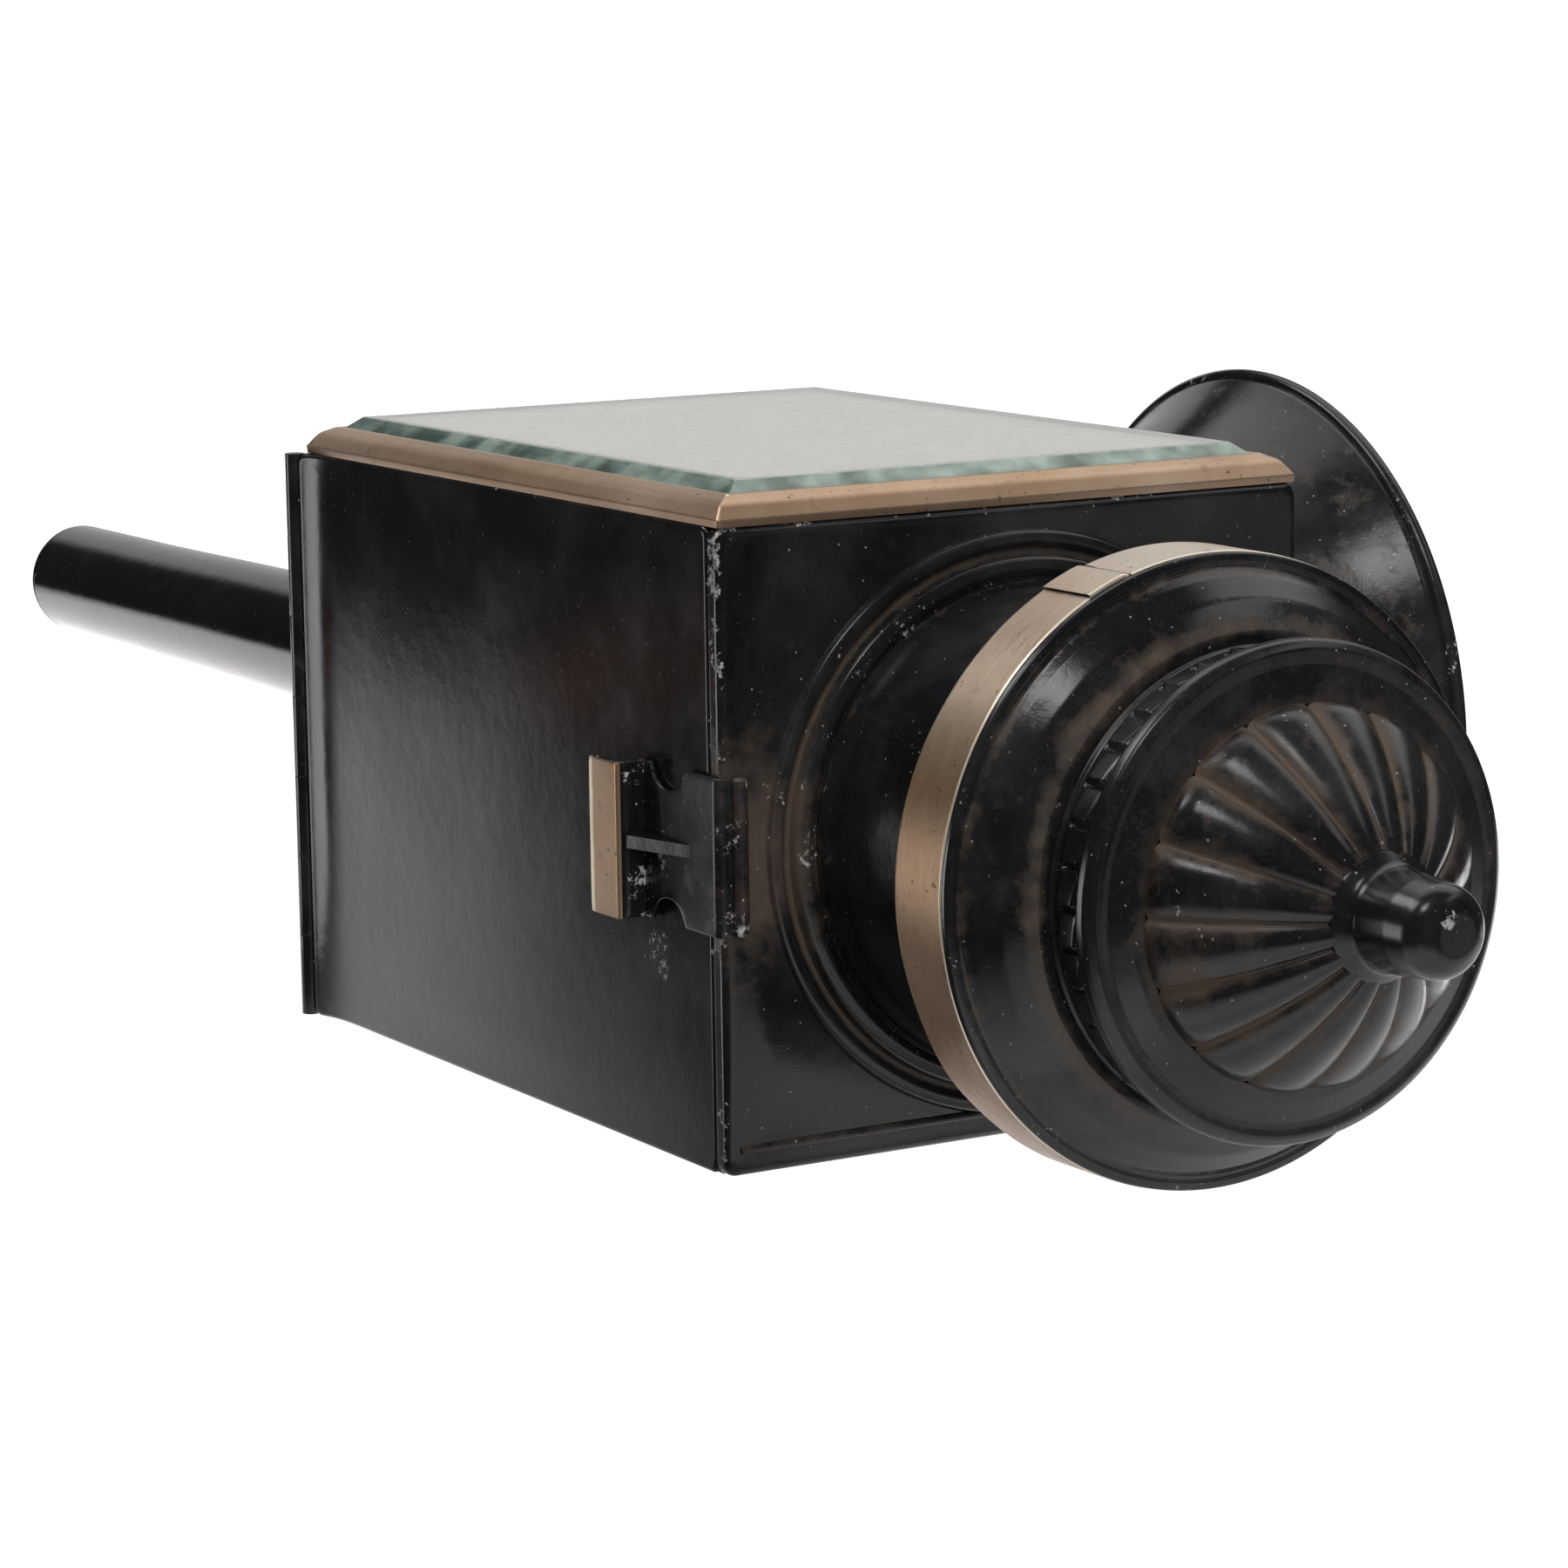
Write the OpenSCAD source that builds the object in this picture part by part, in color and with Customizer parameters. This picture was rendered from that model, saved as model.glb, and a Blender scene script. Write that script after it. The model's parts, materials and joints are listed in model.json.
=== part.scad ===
// Candle carriage lamp for the left-hand side of a coach.
// The tube axis is Z. The bell mouth looks along -Y, the door is on +Y and the side light on +X.
// The origin is on the tube axis at the lower end of the tube, which drops into its socket on the coach.

/* [Lamp body] */
// Width of the body, from the plain side to the side light
body_w = 110; // [96:1:130]
// Depth of the body, from the front panel to the door
body_d = 118; // [100:1:140]
// Height of the body
body_h = 160; // [140:1:180]
// Thickness of the sheet metal
sheet = 1; // [0.8:0.1:1.4]
// Depth of the turned-down edge of the roof
roof_lip = 3.6; // [3:0.2:6]

/* [Side light] */
// How far the bevelled glass stands out of the body
glass_rise = 7; // [6:0.5:9]
// How far the metal frame stands out of the body
frame_rise = 5; // [4:0.5:5.5]
// Width that the frame slopes inwards
frame_slope = 4.5; // [3:0.5:6]
// Distance from the body edge to the flat of the glass
glass_inset = 8.6; // [7.5:0.1:11]

/* [Bell mouth] */
// Radius of the mouth at its rim
mouth_r = 66; // [56:1:72]
// Radius of the front opening in the body
front_r = 44; // [38:1:46]
// Length of the bell mouth
mouth_l = 45; // [34:1:50]
// Height of the mouth's axis above the underside of the body
mouth_z = 82; // [74:1:90]

/* [Chimney] */
// Radius of the neck under the canopy
neck_r = 42.5; // [38:0.5:44]
// Height of the canopy's lower edge above the roof
canopy_z = 44; // [36:1:48]
// Radius of the canopy
canopy_r = 52.5; // [48:0.5:56]
// Height of the bright band around the canopy
band_h = 13.5; // [10:0.5:16]
// Outer radius of the vent gallery
gallery_r = 39; // [36:0.5:41]
// Number of vent slots in the gallery
slot_count = 36; // [24:1:44]
// Outer radius of the fluted dome
dome_r = 31.5; // [28:0.5:34]
// Number of flutes on the dome
flute_count = 16; // [12:1:20]
// Radius of the finial at its foot
finial_r = 8.5; // [7:0.5:10]

/* [Candle tube] */
// Outer radius of the tube at its lower end
tube_tip_r = 12.9; // [12.5:0.1:14]
// Outer radius of the tube where it leaves the body
tube_top_r = 14.7; // [14.2:0.1:16]
// Length of the tube below the body
tube_l = 258; // [220:1:290]
// Length of the parallel stretch at the lower end of the tube
tube_seat = 45; // [30:1:60]
// Height of the tube's mouth inside the body
tube_rise = 44; // [38:1:52]
// Bore radius of the tube
tube_bore = 11.9; // [11.8:0.1:12]
// Gap between the candle and the bore of the tube
candle_gap = 0.9; // [0.8:0.1:1.6]
// Length of the candle
candle_l = 196; // [160:1:210]

/* [Door and catch] */
// Radius of the hinge barrel along the foot of the door
barrel_r = 1.8; // [1.6:0.1:2.2]
// Number of knuckles along the hinge
knuckle_count = 7; // [5:2:9]
// Width of the catch
catch_w = 27; // [22:1:32]
// Height of the catch plate below the roof
catch_h = 28; // [24:1:34]
// How far the thumb lip stands out of the door
lip_out = 6.2; // [5:0.2:8]

/* [Hidden] */
$fn = 96;

half_w = body_w / 2;
half_d = body_d / 2;
eps = 0.01;
black = [0.03, 0.03, 0.035];
brass = [0.62, 0.48, 0.33];
tin = [0.72, 0.72, 0.70];
wax = [0.93, 0.90, 0.80];

// The parts are drawn from the underside of the body, which is a tube's length above the origin
module raised() {
    translate([0, 0, tube_l]) children();
}

// ---------- lamp body ----------
door_t = sheet;
door_gap = 0.3;
door_y = half_d - door_t;              // inner face of the door panel
wall_y1 = door_y - door_gap;           // rear end of the fixed walls
wall_top = body_h - roof_lip;
return_w = 6;                          // width of the folded-in door frame
flange_h = 6;                          // upstand of the base plate

// A square frame of sheet, w by d outside, standing on z = 0
module square_ring(w, d, h, t) {
    difference() {
        translate([-w / 2, -d / 2, 0]) cube([w, d, h]);
        translate([-w / 2 + t, -d / 2 + t, -1]) cube([w - 2 * t, d - 2 * t, h + 2]);
    }
}

module base_plate() {
    inner_w = body_w - 2 * sheet;
    inner_d = wall_y1 + half_d - sheet;
    mid_y = (wall_y1 - half_d + sheet) / 2;
    color(black) raised() difference() {
        translate([-half_w, -half_d, 0]) cube([body_w, wall_y1 + half_d, sheet]);
        translate([0, 0, -1]) cylinder(r = tube_top_r + 0.2, h = sheet + 2);
    }
    color(black) raised() translate([0, mid_y, sheet]) square_ring(inner_w, inner_d, flange_h, sheet);
}

// A side wall with its folded door frame; side is +1 or -1
module side_wall(side) {
    x0 = side > 0 ? half_w - sheet : -half_w;
    xr = side > 0 ? half_w - return_w : -half_w;
    translate([x0, -half_d, sheet]) cube([sheet, wall_y1 + half_d, wall_top - sheet]);
    translate([xr, wall_y1 - sheet, sheet + flange_h]) cube([return_w, sheet, wall_top - sheet - flange_h]);
}

module plain_side_panel() {
    color(black) raised() side_wall(-1);
}

opening_in = 12;                       // border left around the side light's opening

module light_side_panel() {
    color(black) raised() difference() {
        side_wall(1);
        translate([half_w - sheet - 1, -half_d + opening_in, opening_in])
            cube([sheet + 2, body_d - 2 * opening_in, body_h - 2 * opening_in]);
    }
}

module front_panel() {
    color(black) raised() difference() {
        translate([-half_w + sheet, -half_d, sheet]) cube([body_w - 2 * sheet, sheet, wall_top - sheet]);
        translate([0, -half_d - 1, mouth_z]) rotate([-90, 0, 0]) cylinder(r = front_r, h = sheet + 2);
    }
}

hole_r = neck_r - 3;                   // chimney opening in the roof

module roof_plate() {
    color(black) raised() difference() {
        union() {
            translate([-half_w, -half_d, body_h - sheet]) cube([body_w, body_d, sheet]);
            translate([0, 0, wall_top]) square_ring(body_w, body_d, roof_lip, sheet);
        }
        translate([0, 0, body_h - sheet - 1]) cylinder(r = hole_r, h = sheet + 2);
    }
    color(black) raised() translate([-half_w + 4, -half_d + 2, body_h]) cube([1.2, body_d - 4, 0.8]);
}

collar_r = neck_r + 7;                 // soft outer bead of the collar
collar_h = 3.2;

// Spun collar that seats the chimney on the roof
module chimney_collar() {
    color(black) raised() translate([0, 0, body_h]) difference() {
        union() {
            cylinder(r1 = collar_r + 1.5, r2 = collar_r - 1, h = 1.4);
            cylinder(r1 = neck_r + 3, r2 = neck_r + 1.6, h = collar_h);
        }
        translate([0, 0, -1]) cylinder(r = hole_r, h = collar_h + 2);
    }
}

rivet_inset = 9;

module roof_rivets() {
    color(black) raised()
        for (sx = [-1, 1], sy = [-1, 1])
            translate([sx * (half_w - rivet_inset), sy * (half_d - rivet_inset), body_h - sheet])
                mirror([0, 0, 1]) cylinder(r1 = 1.8, r2 = 1.2, h = 0.8);
}

// ---------- side light ----------
// A rectangular slab against the +X wall, inset on all four sides
module light_slab(inset, x, t) {
    translate([x, -half_d + inset, inset]) cube([t, body_d - 2 * inset, body_h - 2 * inset]);
}

module side_light_frame() {
    color(brass) raised() difference() {
        hull() {
            light_slab(0.2, half_w, 0.6);
            light_slab(frame_slope, half_w + frame_rise - 0.4, 0.4);
        }
        light_slab(frame_slope + 1.2, half_w - 1, frame_rise + 3);
    }
}

packing_t = 2.5;
glass_edge = frame_slope + 1.3;

module side_glass() {
    color([0.75, 0.85, 0.8, 0.35]) raised() hull() {
        light_slab(glass_edge, half_w + packing_t, frame_rise - packing_t - 0.2);
        light_slab(glass_inset, half_w + packing_t, glass_rise - packing_t);
    }
}

// Strip of packing that beds the glass on the wall
module glass_packing() {
    color([0.35, 0.3, 0.25]) raised() difference() {
        light_slab(glass_edge, half_w, packing_t);
        light_slab(opening_in, half_w - 1, packing_t + 2);
    }
}

clip_l = 14;

module glass_clips() {
    color(tin) raised()
        for (sy = [-1, 1], z = [body_h * 0.3, body_h * 0.7])
            translate([half_w - sheet - 0.8, sy * (half_d - opening_in + 1.5), z - clip_l / 2])
                translate([0, -4, 0]) cube([0.8, 8, clip_l]);
}

// ---------- bell mouth ----------
mouth_y = -half_d - mouth_l;
throat_r = front_r + 1.5;
mouth_t = 1;

// Radius of the trumpet at fraction f of its length
function bell_r(f) = throat_r + (mouth_r - throat_r) * (0.42 * f + 0.58 * pow(f, 2.4));

module along_front() {
    translate([0, -half_d, mouth_z]) rotate([90, 0, 0]) children();
}

module bell_mouth() {
    steps = 14;
    outer = [for (i = [0:steps]) [bell_r(i / steps), mouth_l * i / steps]];
    inner = [for (i = [steps:-1:0]) [bell_r(i / steps) - mouth_t, mouth_l * i / steps]];
    color(black) raised() along_front() rotate_extrude() polygon(concat(outer, inner));
    color(black) raised() along_front() difference() {
        cylinder(r = throat_r + 3.5, h = 1.2);
        translate([0, 0, -1]) cylinder(r = throat_r - mouth_t, h = 4);
    }
}

rim_r = 1.4;

module mouth_rim_wire() {
    color(black) raised() along_front() translate([0, 0, mouth_l])
        rotate_extrude() translate([mouth_r - 0.2, rim_r]) circle(r = rim_r, $fn = 24);
}

front_glass_t = 2.5;

module front_glass() {
    color([0.8, 0.87, 0.84, 0.35]) raised() translate([0, -half_d + sheet, mouth_z])
        rotate([-90, 0, 0]) cylinder(r = front_r + 2.5, h = front_glass_t);
}

module front_glass_ring() {
    ring_y = -half_d + sheet + front_glass_t;
    color(tin) raised() translate([0, ring_y, mouth_z]) rotate([-90, 0, 0]) difference() {
        cylinder(r = front_r + 4, h = 1.2);
        translate([0, 0, -1]) cylinder(r = front_r - 1, h = 4);
    }
}

// ---------- chimney ----------
canopy_top = canopy_z + band_h;        // height of the rim above the roof
gallery_z = 67;                        // foot of the vent gallery above the roof
gallery_h = 9.5;
moulding_h = 5;
ledge_z = gallery_z + gallery_h + moulding_h;
dome_z = ledge_z + 1.2;
dome_wall = 4.5;                       // height of the upright ends of the flutes
dome_rise = 19;                        // rise of the dome above its wall

module chimney_neck() {
    color(black) raised() translate([0, 0, body_h + collar_h]) difference() {
        cylinder(r = neck_r, h = canopy_z - collar_h);
        translate([0, 0, -1]) cylinder(r = neck_r - sheet, h = canopy_z + 2);
    }
}

// The canopy is one spinning: an underside, a rim and a domed top that rises to the gallery
module canopy() {
    inner_r = gallery_r - 3;
    steps = 8;
    top_r0 = canopy_r - 0.6;
    top_r1 = gallery_r + 2.2;
    top = [for (i = [0:steps]) let (f = i / steps)
        [top_r0 + (top_r1 - top_r0) * f, canopy_top + (gallery_z - canopy_top) * pow(sin(90 * f), 0.85)]];
    under = [for (i = [steps:-1:0]) let (f = i / steps)
        [top_r0 - 1 + (top_r1 - top_r0) * f, canopy_top - 1 + (gallery_z - canopy_top) * pow(sin(90 * f), 0.85)]];
    color(black) raised() translate([0, 0, body_h]) rotate_extrude() polygon(concat(
        [[neck_r - sheet, canopy_z], [canopy_r - 0.6, canopy_z]],
        top,
        [[inner_r, gallery_z], [inner_r, gallery_z - 1]],
        under,
        [[canopy_r - 2, canopy_top - 2], [canopy_r - 2, canopy_z + 1], [neck_r - sheet, canopy_z + 1]]));
}

module canopy_band() {
    color(brass) raised() translate([0, 0, body_h + canopy_z]) difference() {
        cylinder(r = canopy_r + 0.4, h = band_h);
        translate([0, 0, -1]) cylinder(r = canopy_r - 0.6, h = band_h + 2);
    }
}

slot_h = 4.2;
slot_w = 4.6;

module vent_gallery() {
    color(black) raised() translate([0, 0, body_h + gallery_z]) difference() {
        cylinder(r = gallery_r, h = gallery_h);
        translate([0, 0, -1]) cylinder(r = gallery_r - 1.2, h = gallery_h + 2);
        for (i = [0:slot_count - 1])
            rotate([0, 0, i * 360 / slot_count])
                translate([gallery_r - 3, -slot_w / 2, (gallery_h - slot_h) / 2]) cube([6, slot_w, slot_h]);
    }
}

module gallery_moulding() {
    ledge_in = dome_r - 3;
    color(black) raised() translate([0, 0, body_h + gallery_z + gallery_h]) rotate_extrude() union() {
        translate([gallery_r - 0.6, moulding_h / 2]) circle(r = moulding_h / 2, $fn = 32);
        polygon([
            [ledge_in, moulding_h - 0.4], [gallery_r - 0.6, moulding_h - 1.2],
            [gallery_r - 0.6, moulding_h], [dome_r, moulding_h + 1.2], [ledge_in, moulding_h + 1.2]]);
    }
}

flute_steps = 6;                       // facets across one flute
flute_depth = 3.4;                     // swell of a flute at the outer end
ring_steps = 7;

// Height of the dome's surface at radius fraction f and angle a
function dome_base(f) = dome_wall + dome_rise * (1 - pow(f, 1.7)) - dome_wall * pow(f, 6) * 0.4;
function flute_swell(a) = pow(abs(cos(a * flute_count / 2)), 0.8);
function dome_height(f, a) = dome_base(f) - flute_depth * pow(f, 0.8) * (1 - flute_swell(a));

module fluted_dome() {
    n = flute_count * flute_steps;
    core = finial_r - 1;
    skin = 1;
    radii = [for (i = [0:ring_steps]) core + (dome_r - core) * i / ring_steps];
    angles = [for (j = [0:n - 1]) (j + 0.5) * 360 / n];
    function ring(r, up, drop) = [for (a = angles)
        [r * cos(a), r * sin(a), up ? dome_height(r / dome_r, a) - drop : 0]];
    top = [for (r = radii) each ring(r, true, 0)];
    foot = ring(dome_r, false, 0);
    foot_in = ring(dome_r - skin, false, 0);
    under = [for (i = [ring_steps:-1:0]) each ring(min(radii[i], dome_r - skin), true, skin + 0.6)];
    rows = concat(top, foot, foot_in, under);
    count = 2 * (ring_steps + 1) + 2;
    faces = [for (i = [0:count - 1], j = [0:n - 1])
        let (a = i * n + j, b = i * n + (j + 1) % n, c = ((i + 1) % count) * n)
        each [[a, c + j, b], [b, c + j, c + (j + 1) % n]]];
    color(black) raised() translate([0, 0, body_h + dome_z]) polyhedron(points = rows, faces = faces, convexity = 6);
}

finial_z = dome_z + dome_base((finial_r - 1) / dome_r);
finial_h = 16.5;
stud_r = 2;

module finial() {
    steps = 10;
    side = [for (i = [0:steps]) let (f = i / steps)
        [finial_r * (1 - 0.18 * f) * sqrt(max(0, 1 - pow(f, 5))), 2 + (finial_h - 2) * f]];
    color(black) raised() translate([0, 0, body_h + finial_z]) {
        rotate_extrude() polygon(concat([[0, 0], [finial_r + 0.6, 0], [finial_r + 0.6, 1]], side, [[0, finial_h]]));
        translate([0, 0, -26]) cylinder(r = stud_r, h = 26.5);
    }
}

baffle_z = gallery_z + 2;              // height of the heat baffle above the roof

module flue_baffle() {
    color(tin) raised() translate([0, 0, body_h + baffle_z]) {
        difference() {
            cylinder(r1 = 24, r2 = 23, h = 1.2);
            translate([0, 0, -1]) cylinder(r = stud_r + 0.3, h = 4);
        }
        for (a = [0:120:240])
            rotate([0, 0, a]) translate([22, -3, 0]) cube([gallery_r - 3.5 - 22 + 1, 6, 1.2]);
    }
}

module finial_nut() {
    color(brass) raised() translate([0, 0, body_h + baffle_z - 3.2]) difference() {
        cylinder(r = 4, h = 3.2, $fn = 6);
        translate([0, 0, -1]) cylinder(r = stud_r, h = 6);
    }
}

// ---------- candle tube ----------
module candle_tube() {
    color(black) raised() difference() {
        union() {
            translate([0, 0, -tube_l]) cylinder(r = tube_tip_r, h = tube_seat);
            translate([0, 0, -tube_l + tube_seat])
                cylinder(r1 = tube_tip_r, r2 = tube_top_r, h = tube_l - tube_seat);
            translate([0, 0, -eps]) cylinder(r = tube_bore + 1, h = tube_rise + eps);
        }
        translate([0, 0, -tube_l - 1]) cylinder(r = tube_bore, h = tube_l + tube_rise + 2);
    }
}

module tube_flange() {
    color(black) raised() translate([0, 0, sheet]) difference() {
        cylinder(r1 = tube_bore + 9, r2 = tube_bore + 2.5, h = 3);
        translate([0, 0, -1]) cylinder(r = tube_bore + 1.01, h = 6);
    }
}

cap_flange = 1.6;                      // thickness of the cap's flange
cap_skirt = 15;
cap_wall = 1;
lug_up = 7;                            // height of the lugs above the tube's end
lug_in = 1.4;
lug_r = 1.2;
cap_r = tube_bore - 0.05;
candle_r = tube_bore - candle_gap;

// The skirt turns between two lugs that are riveted in the tube
module cap_lugs() {
    color(brass) raised() translate([0, 0, -tube_l + lug_up])
        for (a = [0, 180])
            rotate([0, 0, a]) translate([tube_bore - lug_in, 0, 0])
                rotate([0, 90, 0]) cylinder(r = lug_r, h = lug_in + 0.4);
}

turn_range = 40;

module bottom_cap() {
    slot_half = lug_r + 0.3;
    color(black) raised() translate([0, 0, -tube_l]) {
        translate([0, 0, -cap_flange]) cylinder(r = tube_tip_r, h = cap_flange - 0.1);
        difference() {
            translate([0, 0, -0.2]) cylinder(r = cap_r, h = cap_skirt);
            translate([0, 0, 1.4]) cylinder(r = cap_r - cap_wall - 0.8, h = cap_skirt);
            for (a = [0, 180]) {
                rotate([0, 0, a - turn_range - 8]) rotate_extrude(angle = turn_range + 16)
                    translate([cap_r - 4, lug_up - slot_half]) square([6, 2 * slot_half]);
                rotate([0, 0, a - turn_range - 8]) rotate_extrude(angle = 15)
                    translate([cap_r - 4, lug_up - slot_half]) square([6, cap_skirt]);
            }
        }
    }
}

nozzle_gap = 0.05;
nozzle_h = 12;
nozzle_hole = candle_r - 2.4;

nozzle_turn = 30;
nozzle_pin_z = tube_rise - 5;
nozzle_pin_r = 1.1;

module nozzle_pins() {
    color(brass) raised() translate([0, 0, nozzle_pin_z])
        for (a = [0, 180])
            rotate([0, 0, a]) translate([tube_bore + 0.4, 0, 0])
                rotate([0, 90, 0]) cylinder(r = nozzle_pin_r, h = 1.8);
}

module nozzle_cap() {
    outer = tube_bore + 1 + nozzle_gap + 1;
    slot_half = nozzle_pin_r + 0.3;
    color(brass) raised() difference() {
        union() {
            translate([0, 0, tube_rise - nozzle_h + 2]) cylinder(r = outer, h = nozzle_h);
            translate([0, 0, tube_rise + 2 - eps]) cylinder(r1 = outer, r2 = nozzle_hole + 1, h = 4);
            translate([0, 0, tube_rise - nozzle_h + 2]) cylinder(r = outer + 0.8, h = 1.6);
        }
        translate([0, 0, tube_rise - nozzle_h + 1]) cylinder(r = tube_bore + 1 + nozzle_gap, h = nozzle_h + 0.2);
        translate([0, 0, tube_rise + 1]) cylinder(r1 = tube_bore, r2 = nozzle_hole, h = 5.2);
        translate([0, 0, tube_rise + 1]) cylinder(r = nozzle_hole, h = 8);
        for (a = [0, 180]) {
            rotate([0, 0, a - nozzle_turn - 7]) rotate_extrude(angle = nozzle_turn + 14)
                translate([tube_bore, nozzle_pin_z - slot_half]) square([4, 2 * slot_half]);
            rotate([0, 0, a - nozzle_turn - 7]) rotate_extrude(angle = 14)
                translate([tube_bore, tube_rise - nozzle_h + 1]) square([4, nozzle_h - 6]);
        }
    }
}

candle_top = tube_rise - 0.6;          // shoulder of the candle under the nozzle
follower_h = 12;

candle_tip = 9;                        // height of the candle's cone
wick_r = 0.9;
wick_h = 9;

module candle() {
    color(wax) raised() translate([0, 0, candle_top - candle_l]) difference() {
        union() {
            cylinder(r = candle_r, h = candle_l);
            translate([0, 0, candle_l - eps]) cylinder(r1 = nozzle_hole - 0.8, r2 = 2, h = candle_tip);
        }
        translate([0, 0, candle_l + candle_tip - 2]) cylinder(r = wick_r, h = 4);
    }
}

module wick() {
    color([0.25, 0.22, 0.2]) raised() translate([0, 0, candle_top + candle_tip - 2])
        cylinder(r = wick_r, h = wick_h);
}

follower_z = candle_top - candle_l;

module candle_follower() {
    color(tin) raised() translate([0, 0, follower_z - 2]) difference() {
        cylinder(r = tube_bore - 0.1, h = follower_h);
        translate([0, 0, 2]) cylinder(r = candle_r + 0.1, h = follower_h);
    }
}

spring_r = candle_r - 2;
spring_wire = 0.9;
spring_turns = 12;
spring_foot = -tube_l + 1.6;
spring_top = follower_z - 2.1;

// One open coil, swept as a chain of rings
module candle_spring() {
    sides = 6;
    per_turn = 14;
    n = spring_turns * per_turn;
    rise = spring_top - spring_foot - 2 * spring_wire;
    points = [for (i = [0:n], k = [0:sides - 1])
        let (a = i * 360 / per_turn, q = k * 360 / sides, r = spring_r + spring_wire * cos(q))
        [r * cos(a), r * sin(a), rise * i / n + spring_wire * sin(q)]];
    walls = [for (i = [0:n - 1], k = [0:sides - 1])
        let (a = i * sides + k, b = i * sides + (k + 1) % sides)
        [a, b, b + sides, a + sides]];
    ends = [[for (k = [sides - 1:-1:0]) k], [for (k = [0:sides - 1]) n * sides + k]];
    color(tin) raised() translate([0, 0, spring_foot + spring_wire])
        polyhedron(points = points, faces = concat(walls, ends), convexity = 10);
}

// ---------- door ----------
hinge_y = half_d + barrel_r;
hinge_z = -0.6;
wire_r = 0.8;
wire_fit = 0.05;
knuckle_gap = 0.4;
pitch = body_w / knuckle_count;
door_foot = 1.6;
door_top = wall_top - 0.4;

module knuckle(i) {
    translate([-half_w + i * pitch + knuckle_gap / 2, hinge_y, hinge_z]) rotate([0, 90, 0]) difference() {
        cylinder(r = barrel_r, h = pitch - knuckle_gap, $fn = 48);
        translate([0, 0, -1]) cylinder(r = wire_r + wire_fit, h = pitch + 2, $fn = 48);
    }
}

// Strap from a knuckle to the sheet that carries it
module knuckle_strap(i, y0, z0, z1) {
    translate([-half_w + i * pitch + knuckle_gap / 2, y0, z0])
        cube([pitch - knuckle_gap, half_d + 0.9 - y0, z1 - z0]);
}

module with_bore() {
    difference() {
        children();
        translate([-half_w - 1, hinge_y, hinge_z]) rotate([0, 90, 0])
            cylinder(r = wire_r + wire_fit, h = body_w + 2, $fn = 48);
    }
}

module base_knuckles() {
    color(black) raised() with_bore()
        for (i = [0:2:knuckle_count - 1]) {
            knuckle(i);
            knuckle_strap(i, wall_y1, hinge_z - 0.4, hinge_z + 1.2);
        }
}

module door_knuckles() {
    color(black) raised() with_bore()
        for (i = [1:2:knuckle_count - 2]) {
            knuckle(i);
            knuckle_strap(i, door_y, hinge_z + 0.4, door_foot);
        }
}

module hinge_wire() {
    color(black) raised() translate([-half_w, hinge_y, hinge_z]) rotate([0, 90, 0])
        cylinder(r = wire_r, h = body_w, $fn = 48);
}

rebate_in = return_w + 1;
rebate_d = 5;

module back_door() {
    ring_w = body_w - 2 * rebate_in;
    ring_h = door_top - door_foot - 2 * rebate_in;
    color(black) raised() translate([-half_w, door_y, door_foot]) cube([body_w, door_t, door_top - door_foot]);
    color(black) raised() translate([0, door_y, door_foot + rebate_in]) difference() {
        translate([-ring_w / 2, -rebate_d, 0]) cube([ring_w, rebate_d, ring_h]);
        translate([-ring_w / 2 + 0.8, -rebate_d - 1, 0.8]) cube([ring_w - 1.6, rebate_d + 1, ring_h - 1.6]);
    }
}

module door_reflector() {
    w = body_w - 2 * rebate_in - 6;
    h = door_top - door_foot - 2 * rebate_in - 6;
    color(tin) raised() translate([-w / 2, door_y - 1, door_foot + rebate_in + 3]) cube([w, 1, h]);
}

module side_reflector() {
    m = 9;
    color(tin) raised() translate([-half_w + sheet, -half_d + m, m]) cube([0.8, body_d - 2 * m - return_w, wall_top - 2 * m]);
}

// ---------- catch ----------
catch_t = 1.2;
catch_y = half_d + 0.6;                // inner face of the catch plate
catch_foot = body_h - catch_h;
hook_reach = 4.2;
facing_h = 10;
pin_r = 0.9;
knuckle_r = 1.7;
pin_y = half_d + knuckle_r + 0.2;
pin_z = catch_foot + 1.6;
waist_r = 5;

module catch_plate() {
    color(black) raised() difference() {
        union() {
            translate([-catch_w / 2, catch_y, catch_foot + 3.4])
                cube([catch_w, catch_t, catch_h - 3.4 + 1.4]);
            translate([-catch_w / 2, half_d - hook_reach, body_h + 0.3])
                cube([catch_w, hook_reach + 0.7, 1.1]);
            translate([-catch_w / 4, pin_y, pin_z]) rotate([0, 90, 0]) cylinder(r = knuckle_r, h = catch_w / 2, $fn = 48);
            translate([-catch_w / 4, catch_y, pin_z]) cube([catch_w / 2, catch_t, 3]);
        }
        for (s = [-1, 1])
            translate([s * catch_w / 2, catch_y - 1, catch_foot + 12]) rotate([-90, 0, 0])
                cylinder(r = waist_r, h = catch_t + 2);
        translate([-catch_w, pin_y, pin_z]) rotate([0, 90, 0]) cylinder(r = pin_r + 0.05, h = 2 * catch_w, $fn = 48);
    }
    color(black) raised() translate([-catch_w / 2, half_d - hook_reach + 1, body_h + 1.4 + 0.4])
        rotate([0, 90, 0]) cylinder(r = 1.1, h = catch_w, $fn = 32);
}

module catch_lip() {
    y0 = catch_y + catch_t;
    color(black) raised() {
        translate([-catch_w / 2, y0, catch_foot + 3.4]) cube([catch_w, lip_out - 1.4, 1.2]);
        translate([-catch_w / 2, y0 + lip_out - 2.6, catch_foot + 3.4 - facing_h + 1.2]) cube([catch_w, 1.2, facing_h]);
    }
}

module catch_facing() {
    y0 = catch_y + catch_t + lip_out - 1.4;
    color(brass) raised() translate([-catch_w / 2, y0, catch_foot + 3.4 - facing_h + 1.2]) cube([catch_w, 0.6, facing_h]);
}

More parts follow.
